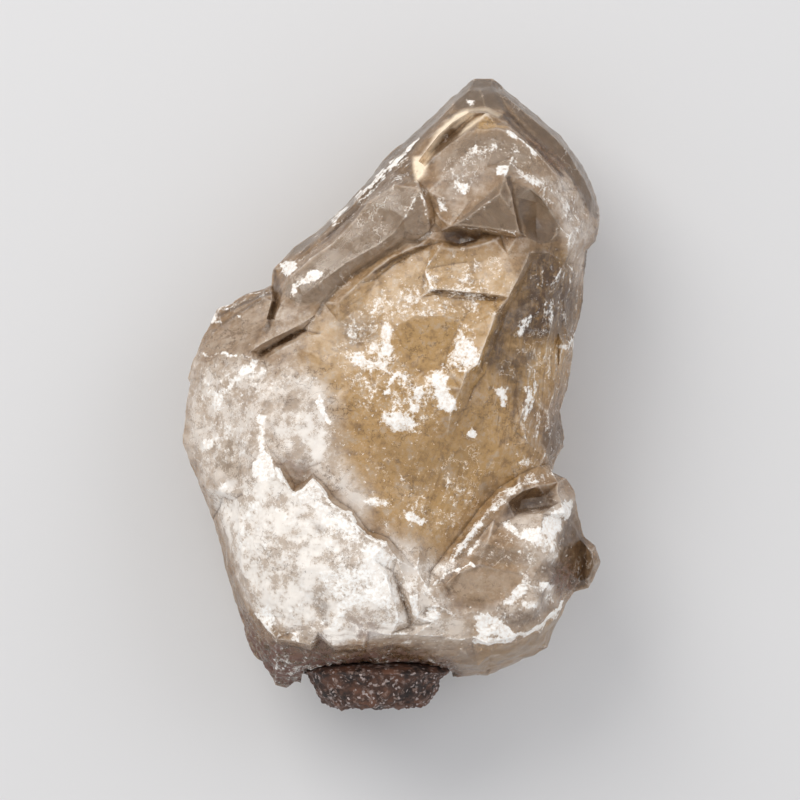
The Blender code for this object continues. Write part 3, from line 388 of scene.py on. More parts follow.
# Warm honey stain in the quartz: how deep, softness, outline
HONEY = {
    "hollow": (0.85, 2.0, [
        (-11.0, 15.0), (-6.0, 20.0), (0.0, 24.0), (8.0, 26.0), (20.0, 25.0), (24.0, 20.0),
        (21.0, 14.0), (21.0, 4.0), (26.0, -8.0), (27.0, -12.6), (20.0, -16.0), (14.0, -22.0),
        (9.0, -28.0), (3.0, -26.0), (-3.0, -22.0), (-5.0, -16.0), (-9.0, -12.0), (-9.0, -5.0),
        (-11.0, 0.0), (-16.0, 5.0), (-15.0, 11.0)]),
    "honey window": (1.0, 0.4, HONEY_WINDOW),
    "deep honey": (1.0, 1.5, [
        (11.0, -4.0), (13.0, 3.0), (18.0, 4.0), (22.0, -2.0), (20.0, -13.0), (14.0, -20.0),
        (8.0, -24.0), (2.0, -20.0), (-4.0, -14.0), (-4.0, -9.0), (5.0, -8.0)]),
    "right slope": (1.0, 1.5, [
        (23.0, 21.0), (26.0, 26.0), (31.0, 26.0), (33.6, 16.0), (31.0, 4.0), (26.0, -2.0),
        (20.0, 0.0), (18.0, 6.0), (19.0, 14.0)]),
    "lower right edge": (0.8, 1.0, [
        (16.0, -44.6), (22.0, -44.2), (27.0, -41.8), (30.6, -38.0), (29.8, -42.0),
        (28.4, -46.0), (20.0, -50.0), (15.0, -50.0)]),
    "clear windows": (0.12, 0.5, [
        (10.2, -34.8), (12.4, -31.5), (15.6, -30.2), (26.0, -28.0), (23.2, -31.9),
        (20.6, -35.0), (17.6, -36.8), (13.4, -36.5)]),
    "orange of the inner point": (1.0, 0.3, [(16.9, 50.2), (15.0, 47.2), (20.6, 47.4)]),
}

# Brown smoke and iron stain, with painted shadow in the pocket under the triangle and painted shade at
# the foot of the slope: how dark, softness, outline
SMOKE_AND_SHADE = {
    "cap": (0.32, 0.5, CAP),
    "dome": (0.34, 1.0, [
        (9.0, 42.0), (14.0, 46.6), (20.0, 47.0), (25.0, 43.0), (20.0, 39.0), (14.0, 36.0),
        (10.0, 33.0)]),
    # Painted shadow in the recess under the triangle
    "pocket": (1.0, 0.4, [
        (9.1, 29.3), (12.6, 29.1), (16.0, 28.9), (19.6, 28.4), (16.4, 28.0), (14.8, 27.3),
        (13.0, 26.4), (11.0, 26.6), (9.2, 27.4)]),
    "lens": (0.62, 0.4, LENS),
    "triangle": (0.28, 0.5, TRIANGLE),
    "below the lens": (0.62, 0.8, [(25.0, 27.4), (29.4, 27.2), (29.6, 23.0), (25.6, 22.6)]),
    "granular strip": (0.6, 0.5, STRIP_BY_THE_POINT),
    "bevel right of the point": (0.8, 0.6, [
        (18.6, 56.4), (20.6, 51.8), (25.0, 46.8), (30.0, 42.2), (33.6, 37.0), (36.6, 31.6),
        (38.0, 33.0), (36.0, 40.0), (30.0, 48.0), (22.0, 55.0)]),
    "band left of the slab": (0.55, 0.6, [
        (4.0, 43.6), (4.8, 38.2), (0.6, 37.6), (-3.8, 34.8), (-6.5, 31.2), (-11.0, 27.6),
        (-12.4, 28.2), (-7.0, 33.2), (-3.0, 37.2)]),
    "gully": (0.8, 0.5, [
        (14.2, 49.4), (11.2, 47.6), (8.4, 44.8), (6.0, 42.0), (6.2, 41.0), (9.0, 43.6),
        (12.2, 46.2), (15.0, 47.8)]),
    # Painted shade on the steep wall right of the ridge, partly brown stain
    "foot of the slope": (0.75, 0.5, [
        (19.0, 15.4), (20.6, 16.6), (22.0, 14.0), (20.6, 10.0), (20.0, 6.2), (17.4, 4.6),
        (16.4, 6.6), (17.6, 10.4)]),
    "dark flank above": (0.7, 0.5, [(22.6, 20.7), (25.2, 20.4), (25.8, 18.6), (21.4, 18.0)]),
    "right slope": (0.9, 1.6, [
        (24.0, 24.0), (26.0, 27.0), (30.0, 26.0), (34.0, 18.0), (33.2, 11.0), (26.0, 9.0),
        (20.6, 9.6), (21.6, 16.0)]),
    "brown in the slope": (0.7, 0.8, [
        (18.4, 8.0), (22.0, 8.6), (25.6, 8.0), (24.0, 2.0), (22.0, -3.0), (20.4, 3.0),
        (17.6, 4.0)]),
    "edge above the waist": (0.75, 0.7, [
        (27.0, -7.0), (29.6, -3.4), (31.6, -5.9), (31.6, -9.3), (29.4, -13.0), (27.8, -10.8)]),
    "hollow of the small crystal": (0.8, 0.5, [
        (19.8, -20.0), (21.4, -18.0), (24.0, -16.9), (28.4, -16.7), (29.0, -18.2),
        (28.2, -20.8), (24.0, -21.3), (19.8, -21.6)]),
    "dark side of the small crystal": (0.8, 0.8, [
        (30.4, -23.0), (33.0, -20.0), (35.4, -26.6), (35.0, -33.6), (33.0, -35.6),
        (30.8, -34.0), (30.4, -30.0), (29.4, -26.0)]),
    "granular corner": (0.7, 0.6, [
        (27.0, -29.6), (32.0, -29.0), (33.0, -35.0), (30.0, -35.6), (26.0, -31.4)]),
    "knob": (0.4, 0.5, [(34.6, -27.0), (38.2, -29.8), (37.0, -34.0), (34.6, -35.2)]),
    "tan face": (0.22, 0.4, [
        (-27.9, -6.6), (-27.0, -11.6), (-26.6, -15.6), (-27.4, -17.2), (-29.2, -14.2),
        (-32.0, -12.8), (-30.2, -10.2)]),
    "tan oval": (0.45, 0.4, [
        (-13.9, -35.8), (-12.4, -36.0), (-10.8, -39.0), (-10.8, -40.2), (-12.0, -39.8),
        (-13.6, -37.4)]),
    "tan spot": (0.4, 0.4, [(-13.8, -22.6), (-12.2, -22.8), (-11.4, -24.4), (-13.0, -24.2)]),
    "grainy spot": (0.5, 0.8, [
        (-20.0, -10.6), (-17.6, -12.4), (-15.2, -11.0), (-14.0, -14.0), (-16.0, -16.4),
        (-18.4, -14.0)]),
    "corner of the hollow": (0.5, 1.2, [
        (-9.6, 13.0), (-5.0, 15.0), (-3.0, 11.0), (-5.6, 8.4), (-9.0, 9.0)]),
    "below the window": (0.5, 0.6, [(15.8, -15.0), (19.0, -15.4), (18.6, -18.0), (15.6, -18.4)]),
    "brown facet": (0.6, 0.5, [(19.4, -38.4), (26.8, -38.0), (26.4, -40.0), (21.0, -41.4)]),
    "brown facet by the edge": (0.5, 0.4, [
        (25.4, -34.8), (27.2, -34.8), (28.6, -38.6), (26.8, -38.8)]),
    "under the window": (0.35, 0.6, [(9.8, -35.6), (17.6, -37.0), (19.0, -38.4), (12.8, -38.2)]),
    "above the window": (0.28, 0.4, OVER_THE_CLEAR_WINDOW),
    "base": (0.78, 0.9, [
        (-24.0, -44.6), (-20.4, -43.8), (-17.0, -45.2), (-14.2, -45.8), (-12.7, -43.2),
        (-10.2, -45.8), (-4.4, -45.6), (0.0, -44.7), (4.4, -44.5), (6.0, -46.2),
        (10.0, -46.6), (13.0, -49.4), (12.0, -52.0), (-17.0, -53.0), (-21.6, -53.0),
        (-24.0, -48.0)]),
    "lower left edge": (0.45, 0.8, [
        (-28.6, -36.0), (-26.0, -38.0), (-22.6, -43.4), (-22.0, -49.0), (-24.8, -48.0),
        (-28.0, -41.0)]),
}

# Painted shade along creases, grooves and edges, and the painted shadow under the ledge, in dark brown:
# how dark, half the width, and the line
CREASE_SHADE_LINES = {
    "crease right of the point": (1.0, 0.42, [
        (18.0, 55.6), (18.9, 54.0), (20.0, 51.8), (22.0, 49.3), (24.5, 46.9), (27.5, 44.5),
        (29.8, 42.4), (31.8, 39.9), (33.6, 37.0), (35.1, 34.2), (36.8, 32.2)]),
    "second crease": (0.9, 0.4, [
        (20.4, 50.2), (21.4, 48.4), (24.0, 45.9), (26.8, 43.4), (28.8, 41.2), (30.5, 39.4)]),
    "arc of the cap": (0.8, 0.35, [
        (10.2, 49.8), (12.6, 50.8), (15.0, 50.9), (17.4, 50.8), (20.6, 49.2)]),
    "left crease": (0.85, 0.35, [
        (3.6, 44.2), (0.6, 41.0), (-3.2, 37.0), (-6.8, 33.0), (-11.4, 28.2)]),
    "edge left of the point": (0.5, 0.45, [
        (14.0, 55.6), (9.0, 51.0), (4.0, 46.6), (-2.0, 41.2)]),
    "foot of the slab": (0.85, 0.35, [
        (6.6, 28.8), (4.8, 27.4), (2.4, 27.4), (-0.6, 25.4), (-4.0, 23.2), (-7.6, 20.9),
        (-10.0, 18.8), (-12.2, 16.4), (-13.0, 14.6)]),
    "lip of the hollow": (0.8, 0.3, [(7.2, 27.0), (3.6, 25.4), (0.2, 23.8), (-2.8, 21.8)]),
    # Painted shadow under the step of the ledge
    "ledge": (0.95, 0.4, [(7.4, 18.4), (11.0, 18.1), (15.0, 17.7), (19.6, 17.1)]),
    "slit": (1.0, 0.42, [(-23.4, 7.2), (-20.4, 9.0), (-17.9, 10.3), (-15.6, 11.5)]),
    "notch": (0.8, 0.45, [(-20.8, 19.4), (-20.6, 16.8), (-21.6, 13.6), (-22.4, 11.4)]),
    "end of the slab": (0.7, 0.35, [(-21.2, 22.6), (-20.6, 20.4), (-19.9, 18.2)]),
    "band on the shoulder": (0.7, 0.3, [
        (-31.0, 14.4), (-28.0, 15.8), (-24.6, 17.2), (-21.4, 18.2)]),
    "edge of the shoulder face": (0.5, 0.3, [(-30.6, 12.6), (-26.6, 15.2), (-22.6, 17.0)]),
    "right of the triangle": (0.9, 0.4, [(20.8, 38.6), (21.8, 35.0), (22.5, 31.4), (23.2, 28.6)]),
    "rim of the lens": (0.6, 0.3, [
        (23.0, 37.0), (24.8, 36.4), (26.8, 34.7), (28.4, 32.6), (29.7, 30.4), (29.7, 28.4)]),
    "left of the strips": (0.8, 0.3, [(6.9, 31.0), (7.0, 29.4), (6.4, 28.2)]),
    "left of the dome": (0.5, 0.4, [(4.4, 38.0), (6.0, 36.0), (7.4, 33.8)]),
    "spine": (0.5, 0.35, [(22.0, 17.6), (19.6, 13.8), (18.4, 10.4), (17.2, 7.0), (15.4, 3.8)]),
    "right edge": (0.8, 0.3, [
        (36.8, 27.8), (35.2, 25.6), (34.8, 20.7), (34.4, 16.7), (33.8, 13.2)]),
    "edge at the knee": (0.5, 0.4, [(37.6, 33.0), (37.4, 30.4), (36.6, 27.8)]),
    "gully in the white face": (0.45, 0.5, [(0.6, -31.8), (1.7, -34.8), (2.8, -38.2), (3.6, -41.0)]),
    "first streak on the slope": (0.6, 0.35, [(26.6, 22.0), (27.0, 15.0), (26.4, 10.0)]),
    "second streak on the slope": (0.7, 0.4, [(32.6, 22.0), (32.6, 15.0), (31.6, 10.2)]),
    "third streak on the slope": (0.6, 0.3, [(22.6, 5.0), (22.0, 0.0), (21.6, -5.0)]),
    "groove before the knob": (1.0, 0.5, [(34.2, -25.8), (34.5, -30.0), (34.3, -34.0)]),
    "edge of the dark side": (0.8, 0.4, [(31.6, -22.0), (31.8, -27.0), (32.0, -33.6)]),
    "foot of the white face": (0.8, 0.4, [
        (-20.6, -44.8), (-17.0, -45.1), (-14.2, -45.9), (-12.7, -44.0), (-10.0, -45.8),
        (-4.4, -45.6), (0.0, -44.7)]),
    "outline of the clear window": (0.4, 0.25, [
        (10.2, -34.8), (12.4, -31.6), (15.6, -30.3), (19.6, -31.3), (23.2, -31.9)]),
    "first flute": (0.6, 0.4, [(-28.0, -35.0), (-26.9, -38.4), (-24.8, -43.0), (-22.4, -47.4)]),
}

# Rock dust and iron on the broken base: how thick, softness, outline
DUST = {
    "base": (0.95, 1.4, [
        (-24.0, -42.0), (-20.0, -44.2), (-17.0, -44.8), (-14.2, -45.6), (-12.7, -43.6),
        (-10.0, -45.4), (-4.4, -45.2), (0.0, -44.8), (5.0, -46.0), (10.0, -47.4), (13.0, -51.0),
        (10.0, -54.0), (-18.0, -54.0),
        (-25.0, -53.0), (-26.0, -47.0)]),
    "lower left": (0.95, 1.6, [
        (-28.6, -38.0), (-25.4, -40.0), (-22.0, -43.6), (-21.0, -50.0), (-26.0, -50.0),
        (-30.0, -42.0)]),
    "granular corner": (0.8, 0.8, [
        (28.6, -30.6), (32.0, -29.6), (33.0, -35.0), (30.0, -35.6), (28.0, -33.0)]),
    "grain in the face": (0.6, 1.2, [(-7.0, -39.6), (-3.0, -39.4), (-2.6, -44.0), (-6.4, -44.4)]),
    "grain by the pale face": (0.45, 1.6, [
        (-19.0, -11.0), (-16.6, -12.4), (-14.6, -13.6), (-16.4, -16.0), (-18.2, -13.6)]),
    "strip by the point": (0.6, 0.8, STRIP_BY_THE_POINT),
}

# Splinters of the broken edge left of the point, which show cream: strength, softness, outline
CREAM = {
    "long splinter": (1.0, 0.3, [
        (13.6, 51.2), (11.2, 50.2), (8.6, 47.6), (6.6, 44.6), (5.0, 42.0), (4.4, 39.6),
        (5.4, 39.0), (6.2, 41.4), (7.6, 44.0), (9.6, 47.0), (11.6, 49.0), (14.0, 50.4)]),
    "blade": (1.0, 0.25, [
        (3.8, 42.6), (5.4, 42.8), (6.4, 41.0), (5.6, 38.8), (4.4, 37.8), (3.9, 40.0)]),
    "upper splinter": (0.9, 0.25, [(15.0, 50.6), (13.2, 50.2), (10.4, 47.6), (11.6, 47.8), (14.6, 49.8)]),
    "shard under the cap": (0.9, 0.25, [
        (17.0, 50.2), (15.4, 49.4), (13.4, 48.2), (12.2, 46.4), (13.6, 47.2), (15.4, 48.6)]),
    "arc under the cap": (0.6, 0.3, [
        (10.2, 49.6), (13.0, 51.2), (17.0, 51.4), (19.6, 50.2), (19.2, 49.6), (16.8, 50.7),
        (13.4, 50.5)]),
}

# Clear, glassy faces: how clear, softness, outline
CLEAR = {
    "cap": (0.9, 0.5, CAP),
    "bevel right of the point": (0.5, 0.4, [
        (18.6, 57.0), (20.6, 51.6), (25.0, 46.6), (30.0, 42.0), (33.6, 37.0), (36.6, 31.6),
        (39.0, 33.0), (37.0, 40.0), (31.0, 48.0), (22.0, 56.0)]),
    "bevel left of the point": (0.9, 0.5, [
        (13.8, 57.5), (10.0, 50.0), (3.0, 43.0), (-7.0, 33.2), (-16.0, 25.6), (-21.0, 24.0),
        (-8.0, 35.6), (4.0, 48.0)]),
    "long slab": (0.8, 0.5, LONG_SLAB),
    "triangle": (0.9, 0.3, TRIANGLE),
    "lens": (1.0, 0.3, LENS),
    "shoulder face": (0.25, 0.4, SHOULDER_FACE),
    "honey window": (0.2, 0.8, HONEY_WINDOW),
    "clear window": (0.3, 0.4, CLEAR_WINDOW),
    "above the window": (0.5, 0.4, OVER_THE_CLEAR_WINDOW),
    "tan face": (0.8, 0.4, [
        (-27.9, -6.6), (-27.0, -11.6), (-26.6, -15.6), (-29.2, -14.2), (-32.0, -12.8),
        (-30.2, -10.2)]),
    "dome": (0.55, 1.0, [
        (8.0, 42.0), (13.0, 46.4), (19.0, 47.0), (23.0, 45.0), (29.0, 39.4), (24.0, 38.0),
        (17.0, 41.0), (10.0, 40.0)]),
    "lower right edge": (0.7, 0.8, [
        (16.0, -44.8), (22.0, -44.4), (27.0, -42.0), (30.6, -38.0), (30.6, -42.0),
        (28.4, -47.0), (20.0, -51.0), (13.0, -51.0), (12.0, -45.6)]),
    "below the honey": (0.5, 0.8, [
        (4.0, -40.0), (8.0, -41.0), (14.0, -40.0), (14.0, -45.6), (4.0, -44.6)]),
    "deep honey": (0.4, 1.5, [
        (11.0, -4.0), (13.0, 3.0), (17.0, 2.0), (18.0, -8.0), (13.0, -16.0), (5.0, -19.0),
        (-3.0, -14.0), (-3.0, -9.0), (5.0, -8.0)]),
}


# Soft edges reach this much further than the softness says, and a line's edge fades between these
# shares of half its width
SOFTER = 1.7
LINE_FADE = (1.6, 0.4)


def painted(areas, lines, flat):
    """The strongest of the soft areas and lines at each point."""
    field = np.zeros(len(flat))
    for strength, softness, outline in areas.values():
        reach = softness * SOFTER
        field = np.maximum(field, strength * smooth(-reach, reach, depth_in(outline, flat)))
    for strength, half_width, line in lines.values():
        reach = distance_to(line, flat)
        fade = smooth(half_width * LINE_FADE[0], half_width * LINE_FADE[1], reach)
        field = np.maximum(field, strength * fade)
    return field


crystal = refined("citrine_crystal", "citrine_skin", FINE_EDGE, COARSE_EDGE)
data = crystal.data
rest = places_of(data)
facing = normals_of(data)

# The edges of frost and stain wander by up to a millimetre, as they do on the stone
WANDER_SIZE = 2.6
WANDER_REACH = 0.8
FRET_SIZE = 0.8
FRET_REACH = 0.3

# A fixed seed, so that they wander the same way in every run
WANDER_SEED = 7
noise.seed_set(WANDER_SEED)
STEADY_SHARE = 0.4
wander = np.array([noise.noise_vector(Vector(p) / WANDER_SIZE) for p in rest])
fret = np.array([noise.noise_vector(Vector(p) / FRET_SIZE) for p in rest])
flat = rest[:, :2] + wander[:, :2] * WANDER_REACH + fret[:, :2] * FRET_REACH
steady = rest[:, :2] + fret[:, :2] * FRET_REACH * STEADY_SHARE

# The front is what faces up, and it ends along a ragged line on the sides
WINDOW_BARE = 0.85
FRONT_TURN = (-0.35, 0.3)
FRONT_RAGGED = 0.3
side_cloud = cloud(rest, 14.0, 5.0, 4)
front = smooth(*FRONT_TURN, facing[:, 2] + FRONT_RAGGED * side_cloud)
frost_and_highlight = painted(FROST, FROST_AND_HIGHLIGHT_LINES, flat)
film_and_highlight = painted(FILM, {}, flat)
honey = painted(HONEY, {}, flat)
# The painted shade of the creases joins the brown smoke and stain here
smoke_and_shade = np.maximum(painted(SMOKE_AND_SHADE, {}, flat), painted({}, CREASE_SHADE_LINES, steady))
clear = painted(CLEAR, {}, steady)
dust = painted(DUST, {}, flat)
cream = painted(CREAM, {}, steady) * front
window = smooth(-0.5, 1.0, depth_in(HONEY_WINDOW, flat))
frost_and_highlight *= 1.0 - WINDOW_BARE * window

# Worn edges catch frost and a painted highlight, and inner corners get painted shade in brown: how the
# skin bends, from its neighbours
CONVEX_BEND = (0.035, 0.12)
INNER_BEND = (0.05, 0.14)
EDGE_FROST_AND_HIGHLIGHT = 0.28
EDGE_FILM_AND_HIGHLIGHT = 0.45
INNER_SHADE = 0.55
EDGE_PATCHES = (-0.35, 0.3)
pairs = np.empty(len(data.edges) * 2, dtype=np.int64)
data.edges.foreach_get("vertices", pairs)
pairs = np.concatenate([pairs.reshape(-1, 2), pairs.reshape(-1, 2)[:, ::-1]])
reach = rest[pairs[:, 1]] - rest[pairs[:, 0]]
slope = (reach * facing[pairs[:, 0]]).sum(axis=1) / np.maximum(np.linalg.norm(reach, axis=1), 0.01)
count = np.bincount(pairs[:, 0], minlength=len(rest))
bend = np.bincount(pairs[:, 0], weights=slope, minlength=len(rest)) / count
bend = 0.5 * bend + 0.5 * np.bincount(pairs[:, 0], weights=bend[pairs[:, 1]], minlength=len(rest)) / count
worn_and_highlit = smooth(*CONVEX_BEND, -bend)
inner = smooth(*INNER_BEND, bend)
# Frost on convex edges, partly a painted highlight along them
edge_frost_and_highlight = EDGE_FROST_AND_HIGHLIGHT * worn_and_highlit * (1.0 - 0.5 * smoke_and_shade) * smooth(*EDGE_PATCHES, side_cloud)
frost_and_highlight = np.minimum(frost_and_highlight + edge_frost_and_highlight, 1.0)
# Milky film on convex edges, partly a painted highlight
film_and_highlight = np.maximum(film_and_highlight, EDGE_FILM_AND_HIGHLIGHT * worn_and_highlit * (1.0 - window))
# Painted shade in the inner corners, added to the brown smoke
smoke_and_shade = np.maximum(smoke_and_shade, INNER_SHADE * inner)

# The sides and the back, which are drawn by rule: frosted all over, clearer on the worn faces
behind = 1.0 - front
flank_frost = 0.36 + 0.34 * side_cloud
flank_film = 0.42 + 0.5 * cloud(rest, 11.0, 17.0, 3)
flank_honey = 0.35 + 0.4 * cloud(rest, 22.0, 9.0, 2)
flank_smoke = smooth(0.25, 0.7, cloud(rest, 9.0, 29.0, 4)) * 0.7
flank_clear = smooth(0.05, 0.5, cloud(rest, 12.0, 61.0, 3)) * 0.8
base_dust = smooth(-45.0, -50.0, rest[:, 1] + wander[:, 1]) * 0.9
frost_and_highlight = frost_and_highlight * front + flank_frost * behind
film_and_highlight = film_and_highlight * front + flank_film * behind
honey = honey * front + flank_honey * behind
smoke_and_shade = smoke_and_shade * front + flank_smoke * behind
clear = clear * front + flank_clear * behind
dust = np.maximum(dust, base_dust * behind)

# Quartz grows in fine parallel lines: which way they lie, in degrees, and where they show
STREAKS = {
    "left bevel": (40.0, 0.8, [
        (13.0, 57.0), (14.6, 50.0), (8.0, 43.6), (4.6, 36.0), (-3.8, 34.4), (-10.5, 26.7),
        (-20.0, 22.0), (-8.0, 36.0), (3.0, 48.0)]),
    "slab": (34.0, 0.6, [
        (5.2, 36.4), (0.6, 37.2), (-3.8, 34.4), (-10.5, 26.7), (-19.0, 20.0), (-17.0, 13.0),
        (-9.0, 12.0), (0.0, 22.0), (8.0, 28.0)]),
    "shoulder": (22.0, 0.7, [
        (-20.0, 21.0), (-28.0, 20.0), (-36.0, 8.0), (-30.0, 6.0), (-22.0, 8.0), (-19.0, 14.0)]),
    "right bevel": (-50.0, 0.9, [
        (17.0, 58.0), (18.6, 52.0), (22.0, 46.4), (28.0, 40.0), (30.0, 32.0), (36.6, 26.0),
        (40.0, 32.0), (36.0, 44.0), (24.0, 56.0)]),
    "right slope": (82.0, 0.9, [
        (24.0, 26.0), (35.6, 26.0), (35.0, 12.0), (30.0, -14.0), (17.0, -8.0), (18.0, 6.0),
        (20.6, 17.0)]),
    "honey": (70.0, 0.4, [
        (12.0, 2.0), (18.0, 2.0), (20.0, -14.0), (12.0, -26.0), (2.0, -24.0), (4.0, -8.0)]),
    "left flank": (75.0, 0.22, [
        (-36.0, 5.0), (-20.0, 6.0), (-12.0, -4.0), (-22.0, -8.0), (-26.0, -16.0), (-35.0, -14.0)]),
    "foot of the stone": (4.0, 0.6, [
        (-26.0, -40.0), (30.0, -42.0), (30.0, -54.0), (-26.0, -56.0)]),
}
streaky = np.zeros(len(rest))
turn = np.zeros(len(rest))
for angle, strength, outline in STREAKS.values():
    weight = strength * smooth(-1.0, 1.0, depth_in(outline, steady))
    stronger = weight > streaky
    streaky[stronger] = weight[stronger]
    turn[stronger] = math.radians(angle)
along = rest[:, 0] * np.cos(turn) + rest[:, 1] * np.sin(turn)
across = rest[:, 1] * np.cos(turn) - rest[:, 0] * np.sin(turn)

# Each growth line is about 6 mm long and 0.8 mm from the next: these units are built into the places
# that its noise is read at, so that noise has a scale of 1
LINE_LENGTH = 6.25
LINE_SPACING = 1 / 1.3
LINE_DEPTH = 1.25
LINE_WANDER = 0.5
line_across = across / LINE_SPACING + wander[:, 0] * LINE_WANDER
lay = np.stack([along / LINE_LENGTH, line_across, rest[:, 2] / LINE_DEPTH], axis=1)

# Relief in millimetres: ripples and flakes of broken quartz, pits in the frost, crumbs on the dusty
# base, and growth lines across the back. The resting face stays flat
RIPPLE_SIZE = 3.4
RIPPLE_DEPTH = 0.22
FLAKE_SIZE = 1.5
FLAKE_DEPTH = 0.16
PIT_SIZE = 0.9
PIT_DEPTH = 0.14
CRUMB_SIZE = 1.2
CRUMB_DEPTH = 0.4
GROWTH_SPACING = 1.7
GROWTH_DEPTH = 0.05
GROWTH_WANDER = 9.0
FROST_LIFT = 0.12
SMOKE_SINK = 0.10
CLEAR_CALM = 0.85
RESTING_HEIGHT = 0.02
calm = 1.0 - CLEAR_CALM * clear
ripple = cloud(rest, RIPPLE_SIZE, 41.0, 3) * RIPPLE_DEPTH
cells = np.array([noise.voronoi(Vector(p) / FLAKE_SIZE)[0][:2] for p in rest])
flake = (cells[:, 1] - cells[:, 0] - 0.3) * FLAKE_DEPTH
pits = -smooth(0.35, 0.75, cloud(rest, PIT_SIZE, 51.0, 2)) * PIT_DEPTH
growth_turn = rest[:, 1] / GROWTH_SPACING * math.tau + side_cloud * GROWTH_WANDER
growth = np.sin(growth_turn) * GROWTH_DEPTH
crumbs = -smooth(0.0, 0.5, cloud(rest, CRUMB_SIZE, 71.0, 2)) * CRUMB_DEPTH
lift = frost_and_highlight * FROST_LIFT - smoke_and_shade * SMOKE_SINK
height = (ripple + flake * (0.4 + frost_and_highlight)) * calm + pits * (0.3 + frost_and_highlight) * calm + lift * front
height += crumbs * dust
height += growth * behind
resting = rest[:, 2] < RESTING_HEIGHT
height[resting] = 0.0
moved = rest + facing * height[:, None]
low = np.array(CAD_BOX[0]) / MM
high = np.array(CAD_BOX[1]) / MM
moved = np.clip(moved, low, high) * MM
data.vertices.foreach_set("co", moved.ravel())

# What the material reads at each point of the skin
FIELDS = {
    "frost_and_highlight": frost_and_highlight, "film_and_highlight": film_and_highlight, "honey": honey, "smoke_and_shade": smoke_and_shade, "clear": clear, "dust": dust,
    "cream": cream, "streaky": streaky,
}
for name, field in FIELDS.items():
    layer = data.attributes.new(name, "FLOAT", "POINT")
    layer.data.foreach_set("value", np.clip(field, 0.0, 1.0))
lay_layer = data.attributes.new("lay", "FLOAT_VECTOR", "POINT")
lay_layer.data.foreach_set("vector", lay.ravel())
data.update()
data.polygons.foreach_set("use_smooth", [True] * len(data.polygons))


def linear(code):
    """An sRGB hex colour as linear red, green, blue and alpha."""
    parts = [int(code[i:i + 2], 16) / 255 for i in (1, 3, 5)]
    return tuple(p / 12.92 if p <= 0.04045 else ((p + 0.055) / 1.055) ** 2.4 for p in parts) + (1.0,)


def add(tree, kind, settings=None, links=None):
    """Adds a node, sets its options and sockets, and links its sockets to other nodes."""
    made = tree.nodes.new(kind)
    for key, value in (settings or {}).items():
        if isinstance(key, str) and hasattr(made, key):
            setattr(made, key, value)
        else:
            made.inputs[key].default_value = value
    for key, source in (links or {}).items():
        tree.links.new(source, made.inputs[key])
    return made


# Citrine: natural quartz, smoky with a honey stain. Its sound faces look like glass, its broken ones
# milky, and white frost lies in flecks and crusts on them. Quartz has an index of refraction of 1.544
SMOKY_QUARTZ = linear("#B8956F")
HONEY_QUARTZ = linear("#E7BA78")
CLEAR_QUARTZ = linear("#EAD2B8")
MOTTLE_DARK = linear("#73543B")
MOTTLE_PALE = linear("#E6D5C2")
# The milky film and frost whites also paint the highlights along convex edges and the upper left bevel
MILKY_FILM_AND_HIGHLIGHT = linear("#F8F1EA")
WHITE_FROST_AND_HIGHLIGHT = linear("#FFFEFC")
DULL_FROST_AND_HIGHLIGHT = linear("#EDE5DD")
# Brown of iron stain, which also paints the shade in creases, the pocket and inner corners
STAIN_AND_SHADE_BROWN = linear("#5B422C")
CREAM_QUARTZ = linear("#FBE7CB")
ROCK_DUST = linear("#6B4B41")
QUARTZ_IOR = 1.544

quartz = bpy.data.materials.new("smoky_honey_quartz")
quartz.use_nodes = True
tree = quartz.node_tree
shader = tree.nodes["Principled BSDF"]
shader.inputs["IOR"].default_value = QUARTZ_IOR
fields = {}
for name in FIELDS:
    fields[name] = add(tree, "ShaderNodeAttribute", {"attribute_name": name}).outputs["Fac"]

# Each noise: the size of its lumps in millimetres, octaves, roughness and shift
NOISES = {
    "broken": (3.2, 7.0, 0.80, 0.0),
    "fine": (0.55, 4.0, 0.65, 0.3),
    "cloudy": (4.0, 7.0, 0.78, 0.7),
    "stained": (1.3, 5.0, 0.7, 1.1),
    "mottled": (2.2, 6.0, 0.76, 3.1),
    "speckled": (1.3, 5.0, 0.8, 6.0),
    "cracked": (7.0, 6.0, 0.62, 5.0),
    "patchy": (9.0, 1.0, 0.6, 8.0),
}
spot = add(tree, "ShaderNodeTexCoord").outputs["Object"]
for name, (size, detail, rough, shift) in NOISES.items():
    place = add(tree, "ShaderNodeVectorMath", {"operation": "ADD", 1: (shift, shift, shift)}, {0: spot})
    settings = {"Scale": 1.0 / (size * MM), "Detail": detail, "Roughness": rough}
    links = {"Vector": place.outputs[0]}
    fields[name] = add(tree, "ShaderNodeTexNoise", settings, links).outputs["Fac"]
lay_spot = add(tree, "ShaderNodeAttribute", {"attribute_name": "lay"}).outputs["Vector"]
LINE_SHIFT = (4.0, 4.0, 4.0)
drawn = add(tree, "ShaderNodeVectorMath", {"operation": "ADD", 1: LINE_SHIFT}, {0: lay_spot})
growth_lines = {"Scale": 1.0, "Detail": 5.0, "Roughness": 0.62}
links = {"Vector": drawn.outputs[0]}
fields["lines"] = add(tree, "ShaderNodeTexNoise", growth_lines, links).outputs["Fac"]
CHIP_SIZE = 1.9
chips = {"Scale": 1.0 / (CHIP_SIZE * MM)}
fields["chips"] = add(tree, "ShaderNodeTexVoronoi", chips, {"Vector": spot}).outputs["Distance"]

